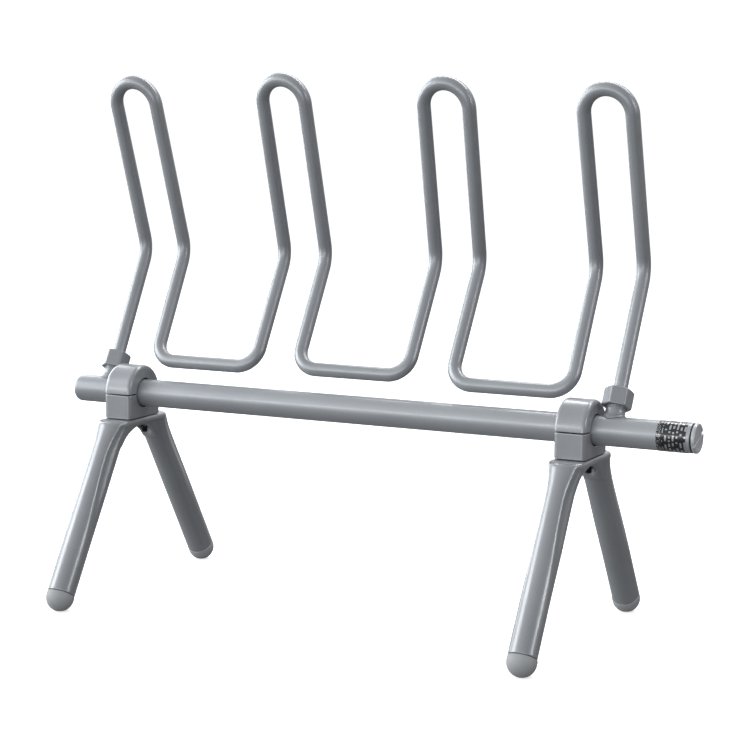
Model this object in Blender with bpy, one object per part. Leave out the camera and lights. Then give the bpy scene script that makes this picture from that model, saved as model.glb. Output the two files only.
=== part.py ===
"""Boot dryer: a bent-tube radiator with four loops, standing on two swivelling leg frames.

Units are metres, +Z is up, X runs along the main tube, +Y points to the rear.
The feet stand on z = 0 and the origin is the middle of the footprint of the whole part.
"""

from math import acos, cos, pi, radians, sin, sqrt, tan

import bmesh
import bpy
from mathutils import Matrix, Vector

MM = 0.001
GAP = 0.3 * MM                      # clearance between pieces that touch

# Main tube
TUBE_RADIUS = 12.7 * MM
TUBE_WALL = 1.6 * MM
TUBE_HEIGHT = 185.3 * MM            # height of the tube's axis above the floor
TUBE_LEFT = -309.3 * MM             # rounded, closed end
TUBE_RIGHT = 304.6 * MM             # open end that takes the end plug
TUBE_NOSE_RADIUS = 4.5 * MM
PLUG_FLANGE = 3.2 * MM
PLUG_SPIGOT = 14.0 * MM
PLUG_SLOT_WIDTH = 2.2 * MM
PLUG_SLOT_DEPTH = 1.8 * MM
PLUG_SLOT_TILT = radians(20.0)
SEAL_THICKNESS = 0.9 * MM

# Radiator coil
COIL_RADIUS = 6.35 * MM
COIL_WALL = 1.0 * MM
COIL_CENTRE_X = -24.0 * MM
LOOP_COUNT = 4
LOOP_PITCH = 155.7 * MM
LOOP_HALF_WIDTH = 21.9 * MM
LOWER_LEAN = radians(29.8)          # the lower part leans to the rear
UPPER_LEAN = radians(16.9)          # the upper part leans to the front
BOTTOM_RISE = 29.1 * MM             # bottom bends above the tube's axis
KNEE_RISE = 129.6 * MM
TOP_RISE = 289.8 * MM
KNEE_BEND = 30.0 * MM
BOTTOM_BEND = 20.0 * MM
# Bending tolerance of each loop: sideways shift of its foot, knee and top, and extra height of its top bend
LOOP_FOOT_SHIFT = (2.0 * MM, -1.5 * MM, -1.0 * MM, 0.8 * MM)
LOOP_KNEE_SHIFT = (-0.5 * MM, -0.8 * MM, 0.8 * MM, 0.6 * MM)
LOOP_TOP_SHIFT = (-5.5 * MM, 0.4 * MM, 8.6 * MM, 2.2 * MM)
LOOP_TOP_EXTRA = (0.0 * MM, 2.7 * MM, 0.0 * MM, -4.4 * MM)
BEND_EXTRA_RISE = (0.0 * MM, 2.0 * MM, -1.3 * MM)

# Compression fittings, measured outward from the tube's axis
FITTING_X = {
    "left": COIL_CENTRE_X - 1.5 * LOOP_PITCH - LOOP_HALF_WIDTH + LOOP_FOOT_SHIFT[0],
    "right": COIL_CENTRE_X + 1.5 * LOOP_PITCH + LOOP_HALF_WIDTH + LOOP_FOOT_SHIFT[-1],
}
NIPPLE_RADIUS = 8.7 * MM
NIPPLE_FLANGE_RADIUS = 10.5 * MM
NIPPLE_FLANGE_TOP = 16.0 * MM
NIPPLE_BASE = 8.0 * MM
NIPPLE_TOP = 28.0 * MM
NIPPLE_BORE = 4.9 * MM
COIL_END = 21.5 * MM
COIL_STRAIGHT = 44.0 * MM           # the coil leaves the fitting in line with it this far
NUT_BOTTOM = 21.4 * MM
NUT_TOP = 37.4 * MM
NUT_ACROSS_FLATS = 23.0 * MM
NUT_TURN = radians(-70.0)
NUT_SHOULDER = 33.6 * MM
FERRULE_TOP = 33.3 * MM

# Clamps
CLAMP_X = {"left": -249.6 * MM, "right": 204.6 * MM}
CLAMP_HALF_WIDTH = 14.5 * MM
CLAMP_RADIUS = 26.0 * MM
CLAMP_DEPTH_BELOW = 23.0 * MM
CLAMP_EDGE = 5.0 * MM
LINER_THICKNESS = 1.1 * MM
STUD_SPACING = 19.8 * MM            # each side of the tube's axis
STUD_RADIUS = 3.0 * MM
STUD_TOP = 9.0 * MM
STUD_BOTTOM = -41.3 * MM
STUD_NUT_FLATS = 10.0 * MM
STUD_NUT_HEIGHT = 5.0 * MM

# Leg frames
LEG_RADIUS = 12.7 * MM
LEG_LEAN = radians(31.3)
FOOT_SPREAD = 120.0 * MM            # foot's ball centre from the tube's axis
FOOT_DROP = 173.2 * MM
FOOT_SEAM = 3.5 * MM                # joint of foot and leg above the ball's centre
FOOT_SPIGOT_RADIUS = 8.5 * MM
FOOT_SPIGOT = 9.0 * MM
SADDLE_HALF_WIDTH = 17.0 * MM
SADDLE_UNDERSIDE = -31.2 * MM
ARCH_RADIUS = 33.6 * MM
FLARE_LENGTH = 42.0 * MM
NUT_POCKET_RADIUS = 7.2 * MM
NUT_POCKET_BOTTOM = -52.0 * MM

# Heater and wiring, in the right-hand stretch of the tube
HEATER_RADIUS = 4.0 * MM
HEATER_LEFT = -262.0 * MM
BULKHEAD_LEFT = 248.0 * MM
BULKHEAD_LENGTH = 12.0 * MM
HEATER_RIGHT = 266.0 * MM
SPACER_LENGTH = 5.0 * MM
SPACER_X = (-170.0 * MM, 130.0 * MM)
CUTOUT_LEFT = 268.0 * MM
CUTOUT_LENGTH = 8.0 * MM
TERMINAL_LEFT = 277.5 * MM
TERMINAL_LENGTH = 11.0 * MM
GLAND_X = 284.0 * MM
GLAND_RADIUS = 5.2 * MM
GLAND_OUTER = 20.5 * MM
LABEL_LEFT = 275.9 * MM
LABEL_RIGHT = 301.4 * MM
LABEL_THICKNESS = 0.2 * MM
LABEL_WRAP = radians(230.0)         # over the top and the front, clear of the gland
LABEL_START = radians(145.0)

MATERIALS = {
    "silver paint": ((0.33, 0.34, 0.36), 0.32, 0.6),
    "silver moulding": ((0.31, 0.32, 0.34), 0.38, 0.3),
    "foot rubber": ((0.40, 0.41, 0.43), 0.6, 0.0),
    "black rubber": ((0.015, 0.015, 0.016), 0.7, 0.0),
    "black steel": ((0.02, 0.02, 0.022), 0.45, 0.8),
    "turned brass": ((0.62, 0.46, 0.2), 0.3, 1.0),
    "stainless steel": ((0.55, 0.55, 0.55), 0.25, 1.0),
    "label foil": ((0.5, 0.52, 0.53), 0.2, 1.0),
    "ceramic": ((0.8, 0.78, 0.72), 0.6, 0.0),
    "plug plastic": ((0.5, 0.51, 0.53), 0.35, 0.3),
    "gland nylon": ((0.03, 0.03, 0.032), 0.5, 0.0),
}


def clear_scene():
    """Remove every object that the scene already holds."""
    for item in list(bpy.data.objects):
        bpy.data.objects.remove(item, do_unlink=True)


def material(name):
    """Return the named finish, made on first use."""
    found = bpy.data.materials.get(name)
    if found:
        return found
    colour, roughness, metallic = MATERIALS[name]
    made = bpy.data.materials.new(name)
    made.use_nodes = True
    shader = made.node_tree.nodes["Principled BSDF"]
    shader.inputs["Base Color"].default_value = (*colour, 1.0)
    shader.inputs["Roughness"].default_value = roughness
    shader.inputs["Metallic"].default_value = metallic
    return made


def add_object(name, data, finish, parent=None, smooth=True):
    """Put a mesh or curve into the scene with its finish and parent."""
    item = bpy.data.objects.new(name, data)
    bpy.context.scene.collection.objects.link(item)
    data.materials.append(material(finish))
    if isinstance(data, bpy.types.Mesh):
        for face in data.polygons:
            face.use_smooth = smooth
    if parent:
        item.parent = parent
    return item


def mesh_from(name, bm):
    """Turn a bmesh into mesh data with its faces pointing outward."""
    bmesh.ops.remove_doubles(bm, verts=bm.verts, dist=1e-7)
    bmesh.ops.recalc_face_normals(bm, faces=bm.faces)
    data = bpy.data.meshes.new(name)
    bm.to_mesh(data)
    bm.free()
    return data


def lathe_mesh(name, profile, steps):
    """Spin a profile of (height, radius) points about local Z; an open one ends on the axis."""
    bm = bmesh.new()
    corners = [bm.verts.new((radius, 0.0, height)) for height, radius in profile]
    edges = [bm.edges.new(pair) for pair in zip(corners, corners[1:])]
    if profile[0][1] > 0.0 and profile[-1][1] > 0.0:
        edges.append(bm.edges.new((corners[-1], corners[0])))
    bmesh.ops.spin(bm, geom=corners + edges, cent=(0, 0, 0), axis=(0, 0, 1),
                   angle=2.0 * pi, steps=steps, use_duplicate=False)
    return mesh_from(name, bm)


def lathe(name, profile, finish, steps=24, parent=None):
    """Make a turned piece about its own Z axis."""
    return add_object(name, lathe_mesh(name, profile, steps), finish, parent)


def lay_along_x(item, x, z=0.0, y=0.0):
    """Point a turned piece's axis along +X, with its zero height at x."""
    item.rotation_euler = (0.0, pi / 2.0, 0.0)
    item.location = (x, y, z)


def box_mesh(name, low, high):
    """Make a plain box between two corners."""
    bm = bmesh.new()
    size = [b - a for a, b in zip(low, high)]
    middle = [(a + b) / 2.0 for a, b in zip(low, high)]
    place = Matrix.Translation(middle) @ Matrix.Diagonal((*size, 1.0))
    bmesh.ops.create_cube(bm, size=1.0, matrix=place)
    return mesh_from(name, bm)


def prism_mesh(name, outline, half_width):
    """Extrude a closed (y, z) outline along X, both ways from the middle."""
    bm = bmesh.new()
    face = bm.faces.new([bm.verts.new((-half_width, y, z)) for y, z in outline])
    grown = bmesh.ops.extrude_face_region(bm, geom=[face])["geom"]
    moved = [part for part in grown if isinstance(part, bmesh.types.BMVert)]
    bmesh.ops.translate(bm, verts=moved, vec=(2.0 * half_width, 0.0, 0.0))
    return mesh_from(name, bm)


def cutter(name, data, parent=None):
    """Add a hidden body that only cuts or adds to others."""
    item = add_object(name, data, "black steel", parent)
    item.hide_render = True
    item.display_type = "WIRE"
    return item


def combine(target, tool, operation):
    """Apply a Boolean of the tool on the target and remove the tool."""
    bpy.context.view_layer.update()
    change = target.modifiers.new(operation.lower(), "BOOLEAN")
    change.operation = operation
    change.object = tool
    change.solver = "EXACT"
    bpy.context.view_layer.update()
    graph = bpy.context.evaluated_depsgraph_get()
    result = bpy.data.meshes.new_from_object(target.evaluated_get(graph))
    target.modifiers.clear()
    target.data = result
    for face in result.polygons:
        face.use_smooth = True
    bpy.data.objects.remove(tool, do_unlink=True)


def arc(centre, radius, start, end, steps):
    """Points on a circle in a plane, from one angle to another, both in degrees."""
    turns = [radians(start + (end - start) * step / steps) for step in range(steps + 1)]
    return [(centre[0] + radius * cos(turn), centre[1] + radius * sin(turn)) for turn in turns]


def drill(target, centre, direction, radius, reach, steps=20):
    """Cut a round hole, centred on a point, as far as reach both ways."""
    tool = cutter("drill", lathe_mesh("drill", [(-reach, 0.0), (-reach, radius),
                                                (reach, radius), (reach, 0.0)], steps))
    tool.rotation_euler = Vector(direction).to_track_quat("Z", "Y").to_euler()
    tool.location = centre
    combine(target, tool, "DIFFERENCE")


def lean_direction():
    """Unit vector along which the fittings and the lower loops lean."""
    return Vector((0.0, sin(LOWER_LEAN), cos(LOWER_LEAN)))


def axis_point(x, reach=0.0):
    """A point at a distance from the tube's axis along the lean of the fittings."""
    return Vector((x, 0.0, TUBE_HEIGHT)) + reach * lean_direction()


# ---------------------------------------------------------------- main tube and its ends

def build_main_tube():
    """Tube with one rounded closed end and holes for both fittings and the cord's gland."""
    length = TUBE_RIGHT - TUBE_LEFT
    inner = TUBE_RADIUS - TUBE_WALL
    nose = [(TUBE_NOSE_RADIUS * (1.0 - sin(turn)), TUBE_RADIUS - TUBE_NOSE_RADIUS * (1.0 - cos(turn)))
            for turn in (pi / 2.0, pi / 3.0, pi / 6.0, 0.0)]
    profile = [(0.0, 0.0)] + nose + [(length, TUBE_RADIUS), (length, inner)]
    profile += [(TUBE_WALL + 3.0 * MM, inner), (TUBE_WALL, inner - 3.0 * MM), (TUBE_WALL, 0.0)]
    tube = lathe("main_tube", profile, "silver paint", 32)
    lay_along_x(tube, TUBE_LEFT, TUBE_HEIGHT)
    for x in FITTING_X.values():
        drill(tube, axis_point(x, TUBE_RADIUS), lean_direction(), NIPPLE_BORE, 6.0 * MM, 16)
    drill(tube, (GLAND_X, TUBE_RADIUS, TUBE_HEIGHT), (0, 1, 0), GLAND_RADIUS + GAP, 5.0 * MM, 16)


def build_end_plug():
    """Slotted plug that screws into the open end, with its sealing ring."""
    inner = TUBE_RADIUS - TUBE_WALL - GAP
    start = SEAL_THICKNESS + 2.0 * GAP
    rim = TUBE_RADIUS - 0.9 * MM
    profile = [(-PLUG_SPIGOT, 0.0), (-PLUG_SPIGOT, inner - 1.0 * MM), (-PLUG_SPIGOT + 1.0 * MM, inner),
               (start, inner), (start, TUBE_RADIUS), (start + PLUG_FLANGE - 1.0 * MM, TUBE_RADIUS),
               (start + PLUG_FLANGE, rim), (start + PLUG_FLANGE, 0.0)]
    plug = lathe("end_plug", profile, "plug plastic", 32)
    lay_along_x(plug, TUBE_RIGHT, TUBE_HEIGHT)
    depth = start + PLUG_FLANGE
    half = PLUG_SLOT_WIDTH / 2.0
    slot = cutter("slot", box_mesh("slot", (-PLUG_SLOT_DEPTH, -20.0 * MM, -half),
                                   (5.0 * MM, 20.0 * MM, half)))
    slot.location = (TUBE_RIGHT + depth, 0.0, TUBE_HEIGHT)
    slot.rotation_euler = (-PLUG_SLOT_TILT, 0.0, 0.0)
    combine(plug, slot, "DIFFERENCE")
    ring = [(GAP, TUBE_RADIUS - TUBE_WALL), (GAP, TUBE_RADIUS - 0.4 * MM),
            (GAP + SEAL_THICKNESS, TUBE_RADIUS - 0.4 * MM), (GAP + SEAL_THICKNESS, TUBE_RADIUS - TUBE_WALL)]
    seal = lathe("end_plug_seal", ring, "black rubber", 32)
    lay_along_x(seal, TUBE_RIGHT, TUBE_HEIGHT)


def build_rating_label():
    """Foil label wrapped round the front and top of the tube's right end."""
    inner = TUBE_RADIUS + 0.05 * MM
    outer = inner + LABEL_THICKNESS
    bm = bmesh.new()
    width = LABEL_RIGHT - LABEL_LEFT
    section = [(inner, 0.0), (outer, 0.0), (outer, width), (inner, width)]
    face = bm.faces.new([bm.verts.new((radius, 0.0, height)) for radius, height in section])
    bmesh.ops.spin(bm, geom=[face], cent=(0, 0, 0), axis=(0, 0, 1), angle=LABEL_WRAP, steps=24)
    label = add_object("rating_label", mesh_from("rating_label", bm), "label foil")
    turn = Matrix.Rotation(LABEL_START, 3, "X") @ Matrix.Rotation(pi / 2.0, 3, "Y")
    label.rotation_euler = turn.to_euler()
    label.location = (LABEL_LEFT, 0.0, TUBE_HEIGHT)


# ---------------------------------------------------------------- radiator coil

def loop_centre(index):
    """X of the middle of a loop."""
    return COIL_CENTRE_X + (index - (LOOP_COUNT - 1) / 2.0) * LOOP_PITCH


def lower_point(x, rise):
    """A point on the rearward-leaning plane of the coil."""
    return Vector((x, rise * tan(LOWER_LEAN), TUBE_HEIGHT + rise))


def upper_point(x, rise):
    """A point on the forward-leaning plane of the coil."""
    knee = KNEE_RISE * tan(LOWER_LEAN)
    return Vector((x, knee - (rise - KNEE_RISE) * tan(UPPER_LEAN), TUBE_HEIGHT + rise))


def coil_corners():
    """Corners of the coil's centre line, each with its bend radius."""
    corners = [(axis_point(FITTING_X["left"], COIL_END), 0.0),
               (axis_point(FITTING_X["left"], COIL_STRAIGHT), KNEE_BEND)]
    for index in range(LOOP_COUNT):
        middle = loop_centre(index)
        left, right = middle - LOOP_HALF_WIDTH, middle + LOOP_HALF_WIDTH
        foot, knee, shift = LOOP_FOOT_SHIFT[index], LOOP_KNEE_SHIFT[index], LOOP_TOP_SHIFT[index]
        top = TOP_RISE + LOOP_TOP_EXTRA[index]
        if index > 0:
            corners.append((lower_point(left + foot, BOTTOM_RISE + BEND_EXTRA_RISE[index - 1]), BOTTOM_BEND))
        corners.append((lower_point(left + knee, KNEE_RISE), KNEE_BEND))
        corners.append((upper_point(left + shift, top), LOOP_HALF_WIDTH))
        corners.append((upper_point(right + shift, top), LOOP_HALF_WIDTH))
        corners.append((lower_point(right + knee, KNEE_RISE), KNEE_BEND))
        if index < LOOP_COUNT - 1:
            corners.append((lower_point(right + foot, BOTTOM_RISE + BEND_EXTRA_RISE[index]), BOTTOM_BEND))
    corners += [(axis_point(FITTING_X["right"], COIL_STRAIGHT), KNEE_BEND),
                (axis_point(FITTING_X["right"], COIL_END), 0.0)]
    return corners


def bend_points(before, corner, after, radius, step_angle):
    """Points of the round bend that replaces a corner."""
    back = (before - corner).normalized()
    ahead = (after - corner).normalized()
    opening = acos(max(-1.0, min(1.0, back.dot(ahead))))
    trim = 0.999 * radius / tan(opening / 2.0)
    centre = corner + (back + ahead).normalized() * radius / sin(opening / 2.0)
    first = corner + back * trim
    last = corner + ahead * trim
    turn = pi - opening
    steps = max(2, round(turn / step_angle))
    start, end = first - centre, last - centre
    points = []
    for step in range(steps + 1):
        part = step / steps
        ray = (start * sin((1.0 - part) * turn) + end * sin(part * turn)) / sin(turn)
        points.append(centre + ray)
    return points


def coil_path(step_angle):
    """Centre line of the whole coil, bends included."""
    corners = coil_corners()
    path = [corners[0][0]]
    for (before, _), (corner, radius), (after, _) in zip(corners, corners[1:], corners[2:]):
        bend = bend_points(before, corner, after, radius, step_angle)
        if (bend[0] - path[-1]).length < MM:
            path.pop()
        path += bend
    path.append(corners[-1][0])
    return path


def build_coil():
    """One length of tube bent into four loops; its ends enter the two fittings."""
    path = coil_path(radians(22.5))
    data = bpy.data.curves.new("radiator_coil", "CURVE")
    data.dimensions = "3D"
    data.bevel_depth = COIL_RADIUS
    data.bevel_resolution = 3
    line = data.splines.new("POLY")
    line.points.add(len(path) - 1)
    for point, place in zip(line.points, path):
        point.co = (*place, 1.0)
    coil = add_object("radiator_coil", data, "silver paint")
    wall = coil.modifiers.new("wall", "SOLIDIFY")
    wall.thickness = COIL_WALL
    wall.offset = -1.0


# ---------------------------------------------------------------- compression fittings

def stand_on_tube(item, x):
    """Point a turned piece along the fittings' lean, with zero height on the tube's axis."""
    item.rotation_euler = (-LOWER_LEAN, 0.0, 0.0)
    item.location = (x, 0.0, TUBE_HEIGHT)


def build_nipple(name, x):
    """Threaded nipple with a flange that is brazed onto the tube."""
    socket = COIL_RADIUS + GAP
    step = COIL_END - GAP
    profile = [(NIPPLE_BASE, NIPPLE_BORE), (NIPPLE_BASE, NIPPLE_FLANGE_RADIUS),
               (NIPPLE_FLANGE_TOP - 1.2 * MM, NIPPLE_FLANGE_RADIUS), (NIPPLE_FLANGE_TOP, NIPPLE_RADIUS),
               (NIPPLE_TOP, NIPPLE_RADIUS), (NIPPLE_TOP, socket), (step, socket), (step, NIPPLE_BORE)]
    nipple = lathe(name, profile, "silver paint", 24)
    stand_on_tube(nipple, x)
    sleeve = TUBE_RADIUS + GAP
    tool = cutter("tube space", lathe_mesh("tube space", [(-30.0 * MM, 0.0), (-30.0 * MM, sleeve),
                                                          (30.0 * MM, sleeve), (30.0 * MM, 0.0)], 32))
    lay_along_x(tool, x, TUBE_HEIGHT)
    combine(nipple, tool, "DIFFERENCE")


def hexagon_nut_mesh(name, flats, low, high, chamfer, bore):
    """Hexagon nut with chamfered corners; bore lists the (height, radius) points of its inside, top first."""
    corner = flats / sqrt(3.0)
    bm = bmesh.new()
    place = Matrix.Translation((0.0, 0.0, (low + high) / 2.0))
    bmesh.ops.create_cone(bm, cap_ends=True, segments=6, radius1=corner, radius2=corner,
                          depth=high - low + 2.0 * MM, matrix=place)
    nut = cutter(name + " body", mesh_from(name, bm))
    flat = flats / 2.0
    wide = corner + 0.2 * MM
    profile = [(low, flat), (low + chamfer, wide), (high - chamfer, wide), (high, flat)] + bore
    turned = cutter("turned shape", lathe_mesh("turned shape", profile, 24))
    turned.rotation_euler = (0.0, 0.0, radians(4.0))
    combine(nut, turned, "INTERSECT")
    data = nut.data
    bpy.data.objects.remove(nut, do_unlink=True)
    data.materials.clear()
    return data


def build_compression_nut(name, x):
    """Nut that squeezes the ferrule onto the coil's end."""
    bore = [(NUT_TOP, COIL_RADIUS + GAP), (NUT_SHOULDER, COIL_RADIUS + GAP),
            (NUT_SHOULDER, NIPPLE_RADIUS + GAP), (NUT_BOTTOM, NIPPLE_RADIUS + GAP)]
    data = hexagon_nut_mesh(name, NUT_ACROSS_FLATS, NUT_BOTTOM, NUT_TOP, 1.6 * MM, bore)
    nut = add_object(name, data, "silver paint", smooth=False)
    stand_on_tube(nut, x)
    nut.rotation_euler = (Matrix.Rotation(-LOWER_LEAN, 3, "X") @ Matrix.Rotation(NUT_TURN, 3, "Z")).to_euler()


def build_ferrule(name, x):
    """Brass ring between the nipple's mouth and the nut's shoulder."""
    inner = COIL_RADIUS + GAP
    bottom = NIPPLE_TOP + GAP
    profile = [(bottom, inner), (bottom, inner + 0.8 * MM), (bottom + 1.8 * MM, NIPPLE_RADIUS - GAP),
               (FERRULE_TOP - 1.0 * MM, NIPPLE_RADIUS - GAP), (FERRULE_TOP, inner + 1.0 * MM),
               (FERRULE_TOP, inner)]
    stand_on_tube(lathe(name, profile, "turned brass", 20), x)


def build_fittings():
    """Nipple, nut and ferrule at each end of the coil."""
    for side_name, x in FITTING_X.items():
        build_nipple(side_name + "_nipple", x)
        build_compression_nut(side_name + "_compression_nut", x)
        build_ferrule(side_name + "_ferrule", x)


# ---------------------------------------------------------------- heater and wiring

def build_heater():
    """Heater rod with its spacers, bulkhead and bulkhead seals."""
    inner = TUBE_RADIUS - TUBE_WALL - GAP
    rod = lathe("heater_rod", [(0.0, 0.0), (0.0, HEATER_RADIUS - 1.0 * MM), (1.0 * MM, HEATER_RADIUS),
                               (HEATER_RIGHT - HEATER_LEFT, HEATER_RADIUS),
                               (HEATER_RIGHT - HEATER_LEFT, 0.0)], "stainless steel", 16)
    lay_along_x(rod, HEATER_LEFT, TUBE_HEIGHT)
    groove = 1.8 * MM
    near, far = 3.0 * MM, 5.4 * MM
    hole = HEATER_RADIUS + GAP
    bulkhead = lathe("heater_bulkhead", [
        (0.0, hole), (0.0, inner), (near, inner), (near, inner - groove), (far, inner - groove),
        (far, inner), (BULKHEAD_LENGTH, inner), (BULKHEAD_LENGTH, hole)], "turned brass", 24)
    lay_along_x(bulkhead, BULKHEAD_LEFT, TUBE_HEIGHT)
    ring = lathe("bulkhead_seal", [
        (near + GAP, inner - groove + GAP), (near + GAP, inner), (far - GAP, inner),
        (far - GAP, inner - groove + GAP)], "black rubber", 24)
    lay_along_x(ring, BULKHEAD_LEFT, TUBE_HEIGHT)


def build_heater_spacer(name, x):
    """Four-armed ring that keeps the rod in the middle and lets the liquid pass."""
    inner = TUBE_RADIUS - TUBE_WALL - GAP
    spacer = lathe(name, [(0.0, HEATER_RADIUS + GAP), (0.0, inner), (SPACER_LENGTH, inner),
                          (SPACER_LENGTH, HEATER_RADIUS + GAP)], "stainless steel", 20)
    lay_along_x(spacer, x, TUBE_HEIGHT)
    for turn in (45.0, 135.0, 225.0, 315.0):
        reach = 10.5 * MM
        across, up = reach * cos(radians(turn)), reach * sin(radians(turn))
        place = (x + SPACER_LENGTH / 2.0, across, TUBE_HEIGHT + up)
        drill(spacer, place, (1, 0, 0), 3.8 * MM, SPACER_LENGTH, 8)


def build_wiring():
    """Thermal cut-out, terminal block and cord gland in the dry end of the tube."""
    cutout = lathe("thermal_cutout", [(0.0, 0.0), (0.0, 7.5 * MM), (6.0 * MM, 7.5 * MM),
                                      (CUTOUT_LENGTH, 5.5 * MM), (CUTOUT_LENGTH, 0.0)], "ceramic", 20)
    lay_along_x(cutout, CUTOUT_LEFT, TUBE_HEIGHT)
    body = box_mesh("terminal_block", (TERMINAL_LEFT, -5.5 * MM, TUBE_HEIGHT - 7.5 * MM),
                    (TERMINAL_LEFT + TERMINAL_LENGTH, 4.5 * MM, TUBE_HEIGHT + 7.5 * MM))
    block = add_object("terminal_block", body, "ceramic", smooth=False)
    for side in (-1, 0, 1):
        drill(block, (TERMINAL_LEFT, -0.5 * MM, TUBE_HEIGHT + side * 4.6 * MM), (1, 0, 0),
              1.4 * MM, 2.0 * TERMINAL_LENGTH, 10)
    gland = lathe("cord_gland", [
        (8.0 * MM, 2.9 * MM), (8.0 * MM, GLAND_RADIUS), (TUBE_RADIUS + 0.1 * MM, GLAND_RADIUS),
        (TUBE_RADIUS + 0.1 * MM, 6.6 * MM), (GLAND_OUTER - 1.0 * MM, 6.6 * MM), (GLAND_OUTER, 5.4 * MM),
        (GLAND_OUTER, 4.5 * MM), (14.0 * MM, 4.5 * MM), (14.0 * MM, 2.9 * MM)], "gland nylon", 20)
    grommet = lathe("gland_grommet", [
        (14.0 * MM + GAP, 2.9 * MM), (14.0 * MM + GAP, 4.5 * MM - GAP),
        (GLAND_OUTER + 0.6 * MM, 4.5 * MM - GAP), (GLAND_OUTER + 0.6 * MM, 2.9 * MM)], "black rubber", 20)
    for item in (gland, grommet):
        item.rotation_euler = (-pi / 2.0, 0.0, 0.0)
        item.location = (GLAND_X, 0.0, TUBE_HEIGHT)


# ---------------------------------------------------------------- leg assemblies

def clamp_side_outline(low, high_radius):
    """Outline of half of the clamp, seen along the tube, with its half-round bore."""
    bore = TUBE_RADIUS + LINER_THICKNESS + 2.0 * GAP
    seam = GAP / 2.0
    if high_radius:
        outer = arc((0.0, 0.0), CLAMP_RADIUS, 0.0, 180.0, 16)
        inner = arc((0.0, 0.0), bore, 180.0, 0.0, 14)
        outer[0], outer[-1] = (CLAMP_RADIUS, seam), (-CLAMP_RADIUS, seam)
        inner[0], inner[-1] = (-bore, seam), (bore, seam)
        return outer + inner
    inner = arc((0.0, 0.0), bore, 180.0, 360.0, 14)
    inner[0], inner[-1] = (-bore, -seam), (bore, -seam)
    outer = [(CLAMP_RADIUS, -seam), (CLAMP_RADIUS, low), (-CLAMP_RADIUS, low)]
    return [(-CLAMP_RADIUS, -seam)] + inner + outer


def build_clamp_cap(side_name, pivot):
    """Half-round upper clamp with blind holes for the studs."""
    shape = prism_mesh("cap", clamp_side_outline(0.0, True), CLAMP_HALF_WIDTH)
    cap = add_object(side_name + "_clamp_cap", shape, "silver moulding", pivot)
    keep_rounded_cap(cap)
    for side in (-1, 1):
        place = (pivot.location.x, side * STUD_SPACING, TUBE_HEIGHT)
        drill(cap, place, (0, 0, 1), STUD_RADIUS + GAP, STUD_TOP + GAP, 12)


def keep_rounded_cap(cap):
    """Trim the cap with a body whose ends are chamfered in two steps."""
    wide, mid, end = CLAMP_RADIUS + 0.02 * MM, CLAMP_RADIUS - 1.5 * MM, CLAMP_RADIUS - CLAMP_EDGE
    half = CLAMP_HALF_WIDTH
    profile = [(-half - MM, 0.0), (-half - 0.01 * MM, end), (-half + 1.5 * MM, mid),
               (-half + CLAMP_EDGE, wide), (half - CLAMP_EDGE, wide), (half - 1.5 * MM, mid),
               (half + 0.01 * MM, end), (half + MM, 0.0)]
    tool = cutter("cap shape", lathe_mesh("cap shape", profile, 40), cap.parent)
    tool.rotation_euler = (0.0, pi / 2.0, 0.0)
    combine(cap, tool, "INTERSECT")


def build_clamp_block(side_name, pivot):
    """Square lower clamp with rounded upright edges and through holes for the studs."""
    block = add_object(side_name + "_clamp_block",
                       prism_mesh("block", clamp_side_outline(-CLAMP_DEPTH_BELOW, False), CLAMP_HALF_WIDTH),
                       "silver moulding", pivot)
    half, deep, edge = CLAMP_HALF_WIDTH, CLAMP_RADIUS, CLAMP_EDGE
    corners = (arc((half - edge, deep - edge), edge, 0, 90, 4)
               + arc((edge - half, deep - edge), edge, 90, 180, 4)
               + arc((edge - half, edge - deep), edge, 180, 270, 4)
               + arc((half - edge, edge - deep), edge, 270, 360, 4))
    bm = bmesh.new()
    face = bm.faces.new([bm.verts.new((x, y, -40.0 * MM)) for x, y in corners])
    grown = bmesh.ops.extrude_face_region(bm, geom=[face])["geom"]
    bmesh.ops.translate(bm, vec=(0, 0, 50.0 * MM),
                        verts=[part for part in grown if isinstance(part, bmesh.types.BMVert)])
    combine(block, cutter("block shape", mesh_from("block shape", bm), pivot), "INTERSECT")
    for side in (-1, 1):
        place = (pivot.location.x, side * STUD_SPACING, TUBE_HEIGHT - 12.0 * MM)
        drill(block, place, (0, 0, 1), STUD_RADIUS + GAP, 16.0 * MM, 12)


def build_clamp_liner(side_name, pivot):
    """Rubber sleeve that grips the tube inside the clamp."""
    inner = TUBE_RADIUS + GAP
    half = CLAMP_HALF_WIDTH
    liner = lathe(side_name + "_clamp_liner", [(-half, inner), (-half, inner + LINER_THICKNESS),
                                               (half, inner + LINER_THICKNESS), (half, inner)],
                  "black rubber", 32, pivot)
    liner.rotation_euler = (0.0, pi / 2.0, 0.0)


def leg_length():
    """Distance along a leg from the ball's centre to well above the saddle."""
    return (FOOT_DROP - CLAMP_DEPTH_BELOW + 8.0 * MM) / cos(LEG_LEAN)


def leg_section(reach, count=20):
    """Ring of a leg at a distance from the ball's centre: a circle that flares to the saddle."""
    saddle = (FOOT_DROP - CLAMP_DEPTH_BELOW) / cos(LEG_LEAN)
    part = max(0.0, min(1.0, (reach - saddle + FLARE_LENGTH) / FLARE_LENGTH))
    wide = LEG_RADIUS + (SADDLE_HALF_WIDTH - LEG_RADIUS) * part * part
    flat = wide - 1.4 * MM * min(1.0, reach / (60.0 * MM)) * (1.0 - part)
    ring = []
    for step in range(count):
        turn = 2.0 * pi * step / count
        x = max(-flat, min(flat, wide * cos(turn)))
        ring.append((x, LEG_RADIUS * sin(turn)))
    return ring


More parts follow.
